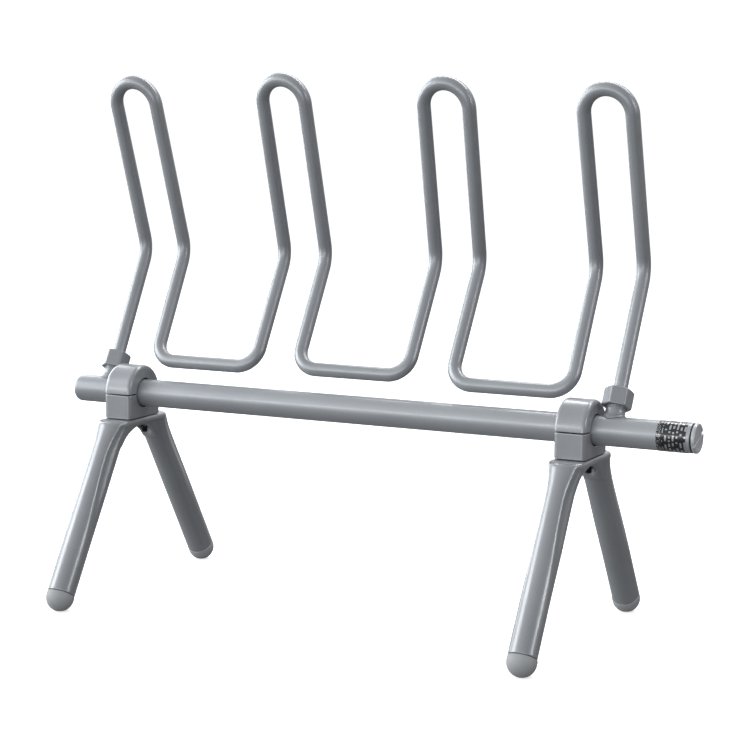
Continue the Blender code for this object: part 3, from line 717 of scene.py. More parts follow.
@dataclass(frozen=True)
class PrintedFoil(Finish):
    """Foil label with rows of plain bright bars that say nothing, on a near-black ground that is painted
    reflection of dark surroundings.
    """

    # Painted reflection: near-black that stands for the dark surroundings mirrored in the foil
    painted_reflection_black: Colour = (0.004, 0.004, 0.005)
    row_height: float = 3.3
    bar_length: float = 1.5
    bar_gaps: float = 0.5
    fine_height: float = 1.2
    fine_length: float = 0.9
    fine_gaps: float = 0.45
    half_bar: float = 0.24
    row_offset: float = 0.37
    strip_width: float = 4.0
    strip_gap: float = 1.0
    tube_radius: float = 12.7
    ink_metallic: float = 0.7
    coat: float = 0.55
    coat_roughness: float = 0.08

    def bars(self, dressing: Dressing, along: object, across: object, length: float, height: float,
             empty: float) -> bpy.types.NodeSocket:
        """Rows of bars of uneven length.

        Args:
            dressing: Material being built.
            along: Distance along the rows, in metres.
            across: Distance across the rows, in metres.
            length: Length of one bar cell in millimetres.
            height: Height of a row in millimetres.
            empty: Share of the cells that stay empty.

        Returns:
            1 on a bar and 0 elsewhere.
        """
        scaled = dressing.sum("DIVIDE", across, height * MM)
        row = dressing.sum("FLOOR", scaled)
        offset = dressing.sum("MULTIPLY", row, self.row_offset)
        shifted = dressing.sum("ADD", dressing.sum("DIVIDE", along, length * MM), offset)
        column = dressing.sum("FLOOR", shifted)
        spot = dressing.node("CombineXYZ", X=column, Y=row).outputs[0]
        chance = dressing.node("TexWhiteNoise", Vector=spot).outputs["Value"]
        filled = dressing.sum("GREATER_THAN", chance, empty)
        off_centre = dressing.sum("ABSOLUTE", dressing.sum("SUBTRACT", dressing.sum("FRACT", scaled), 0.5))
        return dressing.sum("MULTIPLY", filled, dressing.sum("LESS_THAN", off_centre, self.half_bar))

    def build(self, dressing: Dressing) -> bpy.types.Material:
        """Build the node material.

        Args:
            dressing: Node tree to fill.

        Returns:
            The material.
        """
        x, y, z = dressing.node("SeparateXYZ", Vector=dressing.place).outputs
        around = dressing.sum("MULTIPLY", dressing.sum("ARCTAN2", y, z), self.tube_radius * MM)
        bars = self.bars(dressing, around, x, self.bar_length, self.row_height, self.bar_gaps)
        fine = self.bars(dressing, x, around, self.fine_length, self.fine_height, self.fine_gaps)
        strip = dressing.sum("LESS_THAN", x, self.strip_width * MM)
        print_area = dressing.sum("GREATER_THAN", x, (self.strip_width + self.strip_gap) * MM)
        ink = dressing.sum("MAXIMUM", dressing.sum("MULTIPLY", bars, print_area),
                           dressing.sum("MULTIPLY", fine, strip))
        # Between the bars the colour is painted reflection, near-black for the dark surroundings that the
        # foil would mirror; the coat gives the real bright band
        base = dressing.mixed(ink, self.painted_reflection_black, self.tone(dressing, scale=70.0))
        brushed = dressing.noise(scale=5.0, detail=2.0, stretch=(900.0, 12.0, 12.0))
        rough = self.grain(dressing, brushed, smoother=0.05, rougher=0.08)
        metallic = dressing.sum("MULTIPLY", ink, self.ink_metallic)
        lines = dressing.relief(brushed, strength=0.15, depth=0.00003)
        return dressing.finish(Base_Color=base, Roughness=rough, Metallic=metallic, Coat_Weight=self.coat,
                               Coat_Roughness=self.coat_roughness, Normal=lines)


TUBE_PAINT = MetallicPaint("tube_paint", "silver_paint", (0.335, 0.35, 0.368), (0.3, 0.313, 0.33), 0.4,
                           metallic=0.45, coat=0.3, coat_roughness=0.16)
MOULDING_PAINT = MetallicPaint("moulding_paint", "silver_moulding", (0.325, 0.338, 0.356),
                               (0.29, 0.302, 0.319), 0.34, metallic=0.35, coat=0.45, coat_roughness=0.14,
                               peel_strength=0.06)
PLUG_PAINT = MetallicPaint("plug_paint", "plug_plastic", (0.5, 0.51, 0.53), (0.44, 0.45, 0.47), 0.36,
                           metallic=0.3, coat=0.3, coat_roughness=0.15)
FOOT_RUBBER = SoftRubber("foot_rubber_grey", "foot_rubber", (0.37, 0.38, 0.39), (0.32, 0.33, 0.34), 0.56)
SEAL_RUBBER = SoftRubber("seal_rubber", "black_rubber", (0.022, 0.022, 0.024), (0.012, 0.012, 0.013), 0.6)
STUD_STEEL = BlackSteel("black_oxide", "black_steel", (0.03, 0.03, 0.032), (0.014, 0.014, 0.015), 0.4)
FERRULE_BRASS = TurnedMetal("ferrule_brass", "turned_brass", (0.7, 0.52, 0.24), (0.5, 0.36, 0.16), 0.26)
HEATER_STEEL = TurnedMetal("heater_steel", "stainless_steel", (0.6, 0.6, 0.61), (0.45, 0.45, 0.46), 0.24)
FIRED_CERAMIC = Ceramic("fired_ceramic", "ceramic", (0.82, 0.8, 0.74), (0.6, 0.57, 0.5), 0.6)
LABEL_FOIL = PrintedFoil("printed_foil", "label_foil", (0.5, 0.52, 0.54), (0.4, 0.42, 0.44), 0.24)
GLAND_NYLON = SoftRubber("gland_nylon_black", "gland_nylon", (0.035, 0.035, 0.038), (0.022, 0.022, 0.024),
                         0.42, grain_scale=900.0, grain_strength=0.12)


# ---------------------------------------------------------------- pieces and their places


def add_piece(name: str, data: bpy.types.Mesh, finish: Finish, body: Body, place: Matrix,
              stands_for: str) -> bpy.types.Object:
    """Put a finished piece on its body in place of a solid.

    Args:
        name: Name of the piece.
        data: Its mesh.
        finish: Its surface.
        body: Body that it moves with.
        place: Where its own axes lie.
        stands_for: The solid that it stands for.

    Returns:
        The piece.
    """
    piece = bpy.data.objects.new(name, data)
    bpy.context.scene.collection.objects.link(piece)
    data.materials.clear()
    data.materials.append(finish.material())
    data.transform(place.to_3x3().to_4x4())
    piece.matrix_world = Matrix.Translation(place.translation)
    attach(piece, body.value)
    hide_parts(stands_for)
    log.info("%s: %d faces, for %s", name, len(data.polygons), stands_for)
    return piece


def dress_solid(node: str, finish: Finish) -> None:
    """Give a solid that stays its finish.

    Args:
        node: The solid.
        finish: Its surface.
    """
    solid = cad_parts[node]
    solid.data.materials.clear()
    solid.data.materials.append(finish.material())
    log.info("%s: solid kept, %s", node, finish.name)


def middle_of(node: str) -> Vector:
    """Middle of a solid's box."""
    low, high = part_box(node)
    return (low + high) / 2.0


def tube_axis_height() -> float:
    """Height of the main tube's axis above the floor, in metres."""
    return middle_of("main_tube").z


def along_tube(x: float) -> Matrix:
    """Place with local Z along the tube, from x in metres."""
    return Matrix.Translation((x, 0.0, tube_axis_height())) @ Matrix.Rotation(pi / 2.0, 4, "Y")


# ---------------------------------------------------------------- main tube


@dataclass
class MainTube:
    """Heated tube with its rounded end, slotted plug, label and cord gland."""

    radius: float = 12.7
    wall: float = 1.6
    nose: float = 4.5
    nose_flat: float = 4.0
    nose_end: float = 8.0
    axis_gap: float = 0.1
    mouth_chamfer: float = 0.3
    inner_corner: float = 3.0
    rim_thickness: float = 3.2
    spigot_length: float = 17.5
    spigot_start: float = 1.0
    spigot_play: float = 0.3
    slot_width: float = 2.2
    slot_depth: float = 1.8
    slot_tilt: float = 20.0
    dish_depth: float = 0.35
    dish_edge: tuple[float, float] = (8.8, 9.6)
    seal_inset: float = 0.4
    label_lift: float = 0.05
    label_thickness: float = 0.2
    label_start: float = 55.0
    label_end: float = 285.0
    label_steps: int = 72
    gland_radius: float = 6.6
    gland_lift: float = 0.1
    neck_radius: float = 5.2
    neck_lift: float = 1.0
    neck_bottom: float = 8.2
    cord_hole: float = 3.0
    grommet_seat: float = 4.4
    grommet_step: tuple[float, float] = (13.9, 14.2)
    grip_ribs: int = 14
    rib_height: float = 0.25
    rib_run: tuple[float, float] = (13.6, 14.6)
    grommet_bottom: float = 14.3
    grommet_radius: float = 4.2
    grommet_hole: float = 2.9
    grommet_edge: float = 0.5
    grommet_dish: float = 1.2

    def build(self) -> None:
        """Build and dress every piece of the tube."""
        self.build_shell()
        self.build_plug()
        self.build_seal()
        self.build_label()
        self.build_gland()

    def build_shell(self) -> None:
        """Tube with a rounded closed end and an open end for the plug."""
        low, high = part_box("main_tube")
        length = (high.x - low.x) / MM
        inner, chamfer, corner = self.radius - self.wall, self.mouth_chamfer, self.inner_corner
        profile = [(0.0, self.axis_gap), (0.0, self.nose_flat)]
        nose_centre = (self.nose, self.radius - self.nose)
        profile += round_edge(nose_centre, self.nose, start=180.0, end=90.0, steps=10)
        profile += [(self.nose_end, self.radius), (length - chamfer, self.radius),
                    (length, self.radius - chamfer), (length, inner), (self.wall + corner, inner),
                    (self.wall, inner - corner), (self.wall, self.axis_gap)]
        data = turned_mesh("tube_shell", profile, segments=128)
        add_piece("tube_shell", data, TUBE_PAINT, Body.DRYER, along_tube(low.x), "main_tube")

    def plug_shape(self, points: Points) -> Values:
        """Plug whose outer face is at z = 0 and whose slot is tilted.

        Args:
            points: Coordinates x, y and z of the points to measure.

        Returns:
            Distance at each point.
        """
        x, y, z = points
        off_axis = radius_of(x, y)
        rim = soft_max(off_axis - self.radius, z, blend=1.6)
        flange = soft_max(rim, -(z + self.rim_thickness), blend=0.4)
        spigot_radius = self.radius - self.wall - self.spigot_play
        spigot = np.maximum(off_axis - spigot_radius, -(z + self.spigot_length))
        body = np.minimum(flange, np.maximum(spigot, z + self.spigot_start))
        tilt = radians(self.slot_tilt)
        across = x * cos(tilt) + y * sin(tilt)
        slot = np.maximum(np.abs(across) - self.slot_width / 2.0, -(z + self.slot_depth))
        dish = self.dish_depth - self.dish_depth * ease(off_axis, *self.dish_edge)
        return soft_max(soft_max(body, -slot, blend=0.5), z + dish, blend=0.2)

    def build_plug(self) -> None:
        """Slotted plug in the open end."""
        _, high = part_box("end_plug")
        skin = Skin(self.plug_shape, low=(-14.0, -14.0, -19.0), high=(14.0, 14.0, 1.0), step=0.42)
        add_piece("slotted_plug", skin.mesh("slotted_plug"), PLUG_PAINT, Body.DRYER, along_tube(high.x),
                  "end_plug")

    def build_seal(self) -> None:
        """Sealing ring under the plug's rim."""
        low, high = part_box("end_plug_seal")
        width = (high.x - low.x) / MM
        outer, inner = self.radius - self.seal_inset, self.radius - self.wall
        middle = width / 2.0
        profile = [(0.0, inner), (0.0, outer - middle)]
        profile += round_edge((middle, outer - middle), middle, start=180.0, end=0.0, steps=6)
        profile.append((width, inner))
        data = turned_mesh("plug_seal", profile, closed=True)
        add_piece("plug_seal", data, SEAL_RUBBER, Body.DRYER, along_tube(low.x), "end_plug_seal")

    def build_label(self) -> None:
        """Foil label wrapped over the top and front of the tube."""
        low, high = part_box("rating_label")
        inner = (self.radius + self.label_lift) * MM
        outer = inner + self.label_thickness * MM
        width = Vector((high.x - low.x, 0.0, 0.0))
        rings = []
        for step in range(self.label_steps + 1):
            turn = radians(self.label_start + (self.label_end - self.label_start) * step / self.label_steps)
            side = Vector((0.0, cos(turn), sin(turn)))
            rings.append([side * inner, side * outer, side * outer + width, side * inner + width])
        place = Matrix.Translation((low.x, 0.0, tube_axis_height()))
        add_piece("foil_label", ring_mesh("foil_label", rings), LABEL_FOIL, Body.DRYER, place, "rating_label")

    def gland_shape(self, points: Points, outer: float) -> Values:
        """Ribbed body and its collar inside the tube, from the tube's axis to an outer face.

        Args:
            points: Coordinates x, y and z of the points to measure.
            outer: Height of the outer face.

        Returns:
            Distance at each point.
        """
        x, y, z = points
        off_axis = radius_of(x, y)
        ribs = self.rib_height * np.cos(self.grip_ribs * np.arctan2(y, x)) * ease(z, *self.rib_run)
        head = soft_max(off_axis - self.gland_radius + self.rib_height - ribs, z - outer, blend=1.4)
        head = np.maximum(head, self.radius + self.gland_lift - z)
        neck = np.maximum(z - self.radius - self.neck_lift, self.neck_bottom - z)
        neck = np.maximum(off_axis - self.neck_radius, neck)
        step_low, step_high = self.grommet_step
        narrower = (self.grommet_seat - self.cord_hole) * ease(-z, -step_high, -step_low)
        return soft_max(np.minimum(head, neck), self.grommet_seat - narrower - off_axis, blend=0.4)

    def build_gland(self) -> None:
        """Ribbed gland for the cord, with its rubber, on the rear of the tube."""
        centre, outer = middle_of("cord_gland"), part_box("cord_gland")[1].y / MM
        rear = Matrix.Translation((centre.x, 0.0, centre.z)) @ Matrix.Rotation(-pi / 2.0, 4, "X")
        shape = partial(self.gland_shape, outer=outer)
        skin = Skin(shape, low=(-8.0, -8.0, 7.0), high=(8.0, 8.0, 22.0), step=0.4)
        add_piece("gland_body", skin.mesh("gland_body"), GLAND_NYLON, Body.DRYER, rear, "cord_gland")
        top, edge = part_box("gland_grommet")[1].y / MM, self.grommet_edge
        profile = [(self.grommet_bottom, self.grommet_hole), (self.grommet_bottom, self.grommet_radius),
                   (top - edge, self.grommet_radius)]
        profile += round_edge((top - edge, self.grommet_radius - edge), edge, start=90.0, end=0.0, steps=3)
        profile.append((top - self.grommet_dish, self.grommet_hole))
        data = turned_mesh("gland_rubber", profile, closed=True, segments=48)
        add_piece("gland_rubber", data, SEAL_RUBBER, Body.DRYER, rear, "gland_grommet")


# ---------------------------------------------------------------- radiator coil


@dataclass
class RadiatorCoil:
    """One length of tube bent into four loops that lean back, then forward above their knees."""

    radius: float = 6.35
    centre_x: float = -24.0
    pitch: float = 155.7
    half_width: float = 21.9
    lower_lean: float = 29.8
    upper_lean: float = 16.9
    bottom_rise: float = 29.1
    knee_rise: float = 129.6
    top_rise: float = 289.8
    knee_bend: float = 30.0
    bottom_bend: float = 20.0
    end_reach: float = 21.5
    straight_reach: float = 44.0
    foot_shift: tuple[float, ...] = (2.0, -1.5, -1.0, 0.8)
    knee_shift: tuple[float, ...] = (-0.5, -0.8, 0.8, 0.6)
    top_shift: tuple[float, ...] = (-5.5, 0.4, 8.6, 2.2)
    top_extra: tuple[float, ...] = (0.0, 2.7, 0.0, -4.4)
    bottom_extra: tuple[float, ...] = (0.0, 2.0, -1.3)
    turn_step: float = 6.0
    shortest: float = 1.0
    sides: int = 32

    def lower(self, x: float, rise: float) -> Vector:
        """Point on the plane that leans to the rear, above the tube's axis."""
        return Vector((x, rise * tan(radians(self.lower_lean)), rise))

    def upper(self, x: float, rise: float) -> Vector:
        """Point on the plane that leans to the front."""
        knee = self.knee_rise * tan(radians(self.lower_lean))
        return Vector((x, knee - (rise - self.knee_rise) * tan(radians(self.upper_lean)), rise))

    def fitting(self, x: float, reach: float) -> Vector:
        """Point in line with a fitting, at a distance from the tube's axis."""
        lean = radians(self.lower_lean)
        return Vector((x, reach * sin(lean), reach * cos(lean)))

    def corners(self) -> list[tuple[Vector, float]]:
        """List the corners of the centre line.

        Returns:
            Each corner with its bend radius.
        """
        loops = len(self.top_shift)
        found: list[tuple[Vector, float]] = []
        for index in range(loops):
            middle = self.centre_x + (index - (loops - 1) / 2.0) * self.pitch
            left, right = middle - self.half_width, middle + self.half_width
            foot, knee, top = self.foot_shift[index], self.knee_shift[index], self.top_shift[index]
            rise = self.top_rise + self.top_extra[index]
            if index == 0:
                found += [(self.fitting(left + foot, self.end_reach), 0.0),
                          (self.fitting(left + foot, self.straight_reach), self.knee_bend)]
            else:
                found.append((self.lower(left + foot, self.bottom_rise + self.bottom_extra[index - 1]),
                              self.bottom_bend))
            found += [(self.lower(left + knee, self.knee_rise), self.knee_bend),
                      (self.upper(left + top, rise), self.half_width),
                      (self.upper(right + top, rise), self.half_width),
                      (self.lower(right + knee, self.knee_rise), self.knee_bend)]
            if index < loops - 1:
                found.append((self.lower(right + foot, self.bottom_rise + self.bottom_extra[index]),
                              self.bottom_bend))
            else:
                found += [(self.fitting(right + foot, self.straight_reach), self.knee_bend),
                          (self.fitting(right + foot, self.end_reach), 0.0)]
        return found

    def bend(self, before: Vector, corner: Vector, after: Vector, radius: float) -> list[Vector]:
        """Round off one corner.

        Args:
            before: Corner before it.
            corner: The corner itself.
            after: Corner after it.
            radius: Bend radius of the centre line.

        Returns:
            Points of the bend.
        """
        back, ahead = (before - corner).normalized(), (after - corner).normalized()
        opening = acos(max(-1.0, min(1.0, back.dot(ahead))))
        centre = corner + (back + ahead).normalized() * radius / sin(opening / 2.0)
        trim = radius / tan(opening / 2.0)
        start, end = corner + back * trim - centre, corner + ahead * trim - centre
        turn = pi - opening
        steps = max(2, round(turn / radians(self.turn_step)))
        return [centre + (start * sin((1.0 - at / steps) * turn) + end * sin(at / steps * turn)) / sin(turn)
                for at in range(steps + 1)]

    def path(self) -> list[Vector]:
        """Round off every corner of the centre line.

        Returns:
            Points of the whole coil, in millimetres from the tube's axis.
        """
        corners = self.corners()
        line = [corners[0][0]]
        for (before, _), (corner, radius), (after, _) in zip(corners, corners[1:], corners[2:]):
            bend = self.bend(before, corner, after, radius)
            if (bend[0] - line[-1]).length < self.shortest:
                line.pop()
            line += bend
        return line + [corners[-1][0]]

    def build(self) -> None:
        """Build and dress the coil."""
        path = [point * MM for point in self.path()]
        data = swept_mesh("coil_tube", path, self.radius * MM, self.sides)
        place = Matrix.Translation((0.0, 0.0, tube_axis_height()))
        add_piece("coil_tube", data, TUBE_PAINT, Body.DRYER, place, "radiator_coil")


# ---------------------------------------------------------------- compression fittings


@dataclass
class CompressionFitting:
    """Brazed nipple, nut and ferrule at one end of the coil."""

    side: Side
    lean: float = 29.8
    tube_radius: float = 12.7
    nipple_radius: float = 8.6
    nipple_bottom: float = 6.0
    nipple_top: float = 28.0
    nipple_lift: float = 0.25
    collar_radius: float = 10.6
    collar_height: float = 1.5
    thread_pitch: float = 1.5
    thread_depth: float = 0.5
    thread_start: tuple[float, float] = (17.6, 18.6)
    coil_radius: float = 6.35
    coil_play: float = 0.3
    socket_narrowing: float = 1.75
    socket_step: tuple[float, float] = (21.1, 21.4)
    nut_widening: float = 2.35
    nut_step: tuple[float, float] = (33.4, 33.8)
    nut_turn: float = -70.0
    nut: HexNut = HexNut(flats=23.0, low=21.4, high=37.4, corner_blend=1.2, cone_start=0.2, cone_blend=0.8,
                         face_blend=0.5)

    def place(self, turn: float = 0.0) -> Matrix:
        """Local Z along the fitting, from the tube's axis."""
        middle = Vector((middle_of(self.side.value + "_nipple").x, 0.0, tube_axis_height()))
        return (Matrix.Translation(middle) @ Matrix.Rotation(-radians(self.lean), 4, "X")
                @ Matrix.Rotation(radians(turn), 4, "Z"))

    def bore(self, z: Values, change: float, step: tuple[float, float]) -> Values:
        """Radius of a bore that changes below a step."""
        return self.coil_radius + self.coil_play + change * ease(-z, -step[1], -step[0])

    def nipple_shape(self, points: Points) -> Values:
        """Threaded nipple, filleted into its brazed collar on the tube.

        Args:
            points: Coordinates x, y and z of the points to measure.

        Returns:
            Distance at each point.
        """
        x, y, z = points
        off_axis, off_tube = radius_of(x, y), radius_of(y, z) - self.tube_radius
        wave = 0.5 + 0.5 * np.cos(2.0 * pi * z / self.thread_pitch - np.arctan2(y, x))
        thread = self.thread_depth * wave * ease(z, *self.thread_start)
        stem = soft_max(off_axis - self.nipple_radius + thread, z - self.nipple_top, blend=0.8)
        collar = soft_max(off_axis - self.collar_radius, off_tube - self.collar_height, blend=1.6)
        whole = np.maximum(soft_min(stem, collar, blend=2.4), self.nipple_bottom - z)
        bore = self.bore(z, -self.socket_narrowing, self.socket_step)
        return soft_max(np.maximum(whole, self.nipple_lift - off_tube), bore - off_axis, blend=0.5)

    def nut_shape(self, points: Points) -> Values:
        """Six-sided nut with a stepped bore.

        Args:
            points: Coordinates x, y and z of the points to measure.

        Returns:
            Distance at each point.
        """
        x, y, z = points
        bore = self.bore(z, self.nut_widening, self.nut_step)
        return soft_max(self.nut.shape(points), bore - radius_of(x, y), blend=0.8)

    def build(self) -> None:
        """Build and dress the fitting."""
        side = self.side.value
        nipple = Skin(self.nipple_shape, low=(-12.5, -12.5, 4.0), high=(12.5, 12.5, 29.5), step=0.36)
        nut = Skin(self.nut_shape, low=(-14.5, -14.5, 20.0), high=(14.5, 14.5, 38.8), step=0.45)
        for skin, name, turn, node in ((nipple, "_threaded_nipple", 0.0, "_nipple"),
                                       (nut, "_fitting_nut", self.nut_turn, "_compression_nut")):
            data = skin.mesh(side + name)
            add_piece(side + name, data, TUBE_PAINT, Body.DRYER, self.place(turn), side + node)
        dress_solid(side + "_ferrule", FERRULE_BRASS)


# ---------------------------------------------------------------- heater inside the tube


@dataclass
class Heater:
    """Heater rod and wiring, which stay inside the tube and keep their solids."""

    steel: tuple[str, ...] = ("heater_rod", "heater_spacer_1", "heater_spacer_2")
    brass: tuple[str, ...] = ("heater_bulkhead",)
    rubber: tuple[str, ...] = ("bulkhead_seal",)
    ceramic: tuple[str, ...] = ("thermal_cutout", "terminal_block")

    def build(self) -> None:
        """Dress every inner solid."""
        groups = ((self.steel, HEATER_STEEL), (self.brass, FERRULE_BRASS), (self.rubber, SEAL_RUBBER),
                  (self.ceramic, FIRED_CERAMIC))
        for nodes, finish in groups:
            for node in nodes:
                dress_solid(node, finish)


# ---------------------------------------------------------------- leg assemblies


@dataclass
class LegAssembly:
    """Clamp, moulded leg frame, feet and fixings that swing about the tube on one side."""

    side: Side
    tube_radius: float = 12.7
    clamp_radius: float = 26.0
    clamp_half_width: float = 14.5
    clamp_edge: float = 4.4
    clamp_bottom: float = -22.7
    clamp_margin: float = 2.0
    bore_radius: float = 14.4
    lip_radius: float = 13.7
    lip_depth: float = 1.8
    lip_run: tuple[float, float] = (12.8, 13.1)
    seam: float = 0.5
    fit_gap: float = 0.3
    leg_radius: float = 12.7
    leg_lean: float = 31.3
    leg_flare: tuple[float, float] = (146.0, 178.0)
    foot_spread: float = 120.0
    foot_drop: float = 173.2
    foot_seam: float = 3.5
    foot_peg_radius: float = 8.4
    foot_peg_length: float = 9.0
    saddle_top: float = -23.3
    saddle_half_width: float = 15.8
    saddle_half_length: float = 36.0
    saddle_corner: float = 6.0
    plate_underside: float = -28.4
    arch_top: float = -31.2
    arch_radius: float = 33.6
    web_bottom: float = -47.0
    web_heights: tuple[float, ...] = (-50.0, -41.0, -34.0, -31.0)
    web_halves: tuple[float, ...] = (8.6, 10.0, 11.4, 12.4)
    stud_spacing: float = 19.8
    stud_radius: float = 3.0
    stud_bottom: float = -41.3
    stud_top: float = 9.0
    stud_chamfer: float = 0.7
    stud_pitch: float = 1.0
    stud_thread: float = 0.45
    stud_threads: int = 14
    stud_hole_bottom: float = -60.0
    pocket_radius: float = 6.6
    nut_flats: float = 10.0
    nut_height: float = 5.0
    flat_tilt: float = 20.0
    flat_fade: tuple[float, float] = (0.6, 3.6)
    scoop_depth: float = 0.45
    scoop_half: float = 5.0
    crease_blend: float = 0.8
    inner_blend: float = 5.2
    inner_run: tuple[float, float] = (-2.0, 6.0)
    # Half width between a leg's flat sides, at distances up the leg from the foot's ball
    flat_reach: tuple[float, ...] = (0.0, 38.0, 60.0, 80.0, 98.0, 112.0, 126.0, 137.0, 146.0, 155.0, 165.0,
                                     176.0, 200.0)
    flat_half: tuple[float, ...] = (13.4, 13.1, 12.2, 10.9, 9.7, 8.9, 8.4, 8.3, 8.8, 9.9, 11.9, 15.6, 23.0)

    @property
    def body(self) -> Body:
        """Body that the assembly moves with."""
        return Body(self.side.value + "_leg")

    def pivot(self) -> Vector:
        """Middle of the clamp on the tube's axis, in metres."""
        return Vector((middle_of(self.side.value + "_clamp_cap").x, 0.0, tube_axis_height()))

    def at_pivot(self) -> Matrix:
        """Place of the pieces that are drawn about the pivot."""
        return Matrix.Translation(self.pivot())

    def add(self, name: str, data: bpy.types.Mesh, finish: Finish, node: str,
            place: Matrix | None = None) -> None:
        """Add a piece of this side.

        Args:
            name: Name after the side.
            data: Mesh.
            finish: Surface.
            node: Solid's name after the side.
            place: Place, or None for the pivot.
        """
        side = self.side.value + "_"
        add_piece(side + name, data, finish, self.body, place or self.at_pivot(), side + node)

    def bore(self, x: Values) -> Values:
        """Radius of the bore, with a thin lip at each face that hides the liner."""
        return self.bore_radius - (self.bore_radius - self.lip_radius) * ease(np.abs(x), *self.lip_run)

    def cap_shape(self, points: Points) -> Values:
        """Half-round upper clamp.

        Args:
            points: Coordinates x, y and z of the points to measure.

        Returns:
            Distance at each point.
        """
        x, y, z = points
        off_tube = radius_of(y, z)
        body = soft_max(off_tube - self.clamp_radius, np.abs(x) - self.clamp_half_width, self.clamp_edge)
        body = soft_max(body, self.seam - z, blend=0.6)
        return soft_max(body, self.bore(x) - off_tube, blend=0.8)

    def block_shape(self, points: Points) -> Values:
        """Lower clamp with its rounded upright edges.

        Args:
            points: Coordinates x, y and z of the points to measure.

        Returns:
            Distance at each point.
        """
        x, y, z = points
        body = rounded_outline(x, y, (self.clamp_half_width, self.clamp_radius), self.clamp_edge)
        body = soft_max(soft_max(body, z + self.seam, blend=0.6), self.clamp_bottom - z, blend=0.6)
        return soft_max(body, self.bore(x) - radius_of(y, z), blend=0.8)

    def leg_shape(self, points: Points, end: End) -> Values:
        """One leg: a round front, scooped flat sides and a soft inner face.

        Args:
            points: Coordinates x, y and z of the points to measure, from the pivot.
            end: Which of the two legs.

        Returns:
            Distance at each point.
        """
        x, y, z = points
        lean, sign = radians(self.leg_lean), end.value
        off_y, off_z = y - sign * self.foot_spread, z + self.foot_drop
        reach = -sign * off_y * sin(lean) + off_z * cos(lean)
        outward = sign * off_y * cos(lean) + off_z * sin(lean)
        flare = self.saddle_half_width + self.fit_gap - self.leg_radius
        wide = self.leg_radius + flare * ease(reach, *self.leg_flare)
        round_part = radius_of(x * self.leg_radius / wide, outward) - self.leg_radius
        half = np.interp(reach, self.flat_reach, self.flat_half)
        crease = np.sqrt(np.maximum(self.leg_radius ** 2 - (half * self.leg_radius / wide) ** 2, 0.0))
        fade_start, fade_run = self.flat_fade
        share = np.clip((wide + fade_start - half) / fade_run, 0.0, 1.0)
        tilt = radians(self.flat_tilt) * share
        flat = (np.abs(x) - half) * np.cos(tilt) + (outward - crease) * np.sin(tilt)
        off_scoop = np.abs(outward - crease + self.scoop_half)
        flat = flat + self.scoop_depth * share * (1.0 - ease(off_scoop, 0.0, self.scoop_half))
        blend = self.crease_blend + self.inner_blend * ease(-outward, *self.inner_run)
        leg = soft_max(round_part, flat, blend)
        return soft_max(leg, self.foot_seam + self.fit_gap - reach, blend=0.8)

    def web_shape(self, points: Points) -> Values:
        """Saddle's plate and the arch below it.

        Args:
            points: Coordinates x, y and z of the points to measure.

        Returns:
            Distance at each point.
        """
        x, y, z = points
        lean, centre = radians(self.leg_lean), self.arch_top - self.arch_radius
        arch = self.arch_radius - radius_of(y, z - centre)
        outward = (np.abs(y) - self.foot_spread) * cos(lean) + (z + self.foot_drop) * sin(lean)
        core = soft_max(np.abs(x) - np.interp(z, self.web_heights, self.web_halves), arch, blend=4.0)
        core = np.maximum(core, np.maximum(outward, self.web_bottom - z))
        plate = rounded_outline(x, y, (self.saddle_half_width, self.saddle_half_length), self.saddle_corner)
        return soft_min(core, soft_max(plate, self.plate_underside - z, blend=1.6), blend=2.2)

    def frame_shape(self, points: Points) -> Values:
        """Whole moulded frame with its nut pockets.

        Args:
            points: Coordinates x, y and z of the points to measure.

        Returns:
            Distance at each point.
        """
        x, y, z = points
        legs = np.minimum(self.leg_shape(points, End.FRONT), self.leg_shape(points, End.REAR))
        body = soft_min(legs, self.web_shape(points), blend=2.4)
        body = soft_max(body, z - self.saddle_top, blend=3.0)
        off_stud = radius_of(x, np.abs(y) - self.stud_spacing)
        pocket = np.maximum(off_stud - self.pocket_radius, np.maximum(z - self.arch_top, self.web_bottom - z))
        hole = np.maximum(off_stud - self.stud_radius - self.fit_gap, self.stud_hole_bottom - z)
        return soft_max(soft_max(body, -pocket, blend=0.8), -hole, blend=0.5)

    def foot_shape(self, points: Points, end: End) -> Values:
        """Ball-ended foot with a peg and the small flat that it stands on.

        Args:
            points: Coordinates x, y and z of the points to measure, from the ball's middle.
            end: Which of the two feet.

        Returns:
            Distance at each point.
        """
        x, y, z = points
        ball = np.sqrt(x * x + y * y + np.minimum(z, 0.0) ** 2) - self.leg_radius
        cap = soft_max(ball, z - self.foot_seam, blend=0.9)
        peg = np.maximum(radius_of(x, y) - self.foot_peg_radius, z - self.foot_seam - self.foot_peg_length)
        lean = end.value * radians(self.leg_lean)
        height = tube_axis_height() / MM - self.foot_drop + y * sin(lean) + z * cos(lean)
        return soft_max(np.minimum(cap, np.maximum(peg, -z)), -height, blend=0.5)

    def build_clamp(self) -> None:
        """Build the cap, the block and the rubber liner between them and the tube."""
        wide, far = self.clamp_half_width + self.clamp_margin, self.clamp_radius + self.clamp_margin
        cap = Skin(self.cap_shape, low=(-wide, -far, -1.5), high=(wide, far, far), step=0.75)
        self.add("clamp_upper", cap.mesh("clamp_upper"), MOULDING_PAINT, "clamp_cap")
        block = Skin(self.block_shape, low=(-wide, -far, -25.0), high=(wide, far, 1.5), step=0.75)
        self.add("clamp_lower", block.mesh("clamp_lower"), MOULDING_PAINT, "clamp_block")
        low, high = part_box(self.side.value + "_clamp_liner")
        half = (high.x - low.x) / MM / 2.0 - self.lip_depth
        inner, outer = self.tube_radius + self.fit_gap, self.bore_radius - self.fit_gap
        profile = [(-half, inner), (-half, outer), (half, outer), (half, inner)]
        data = turned_mesh("liner_sleeve", profile, closed=True)
        place = self.at_pivot() @ Matrix.Rotation(pi / 2.0, 4, "Y")
        self.add("liner_sleeve", data, SEAL_RUBBER, "clamp_liner", place)

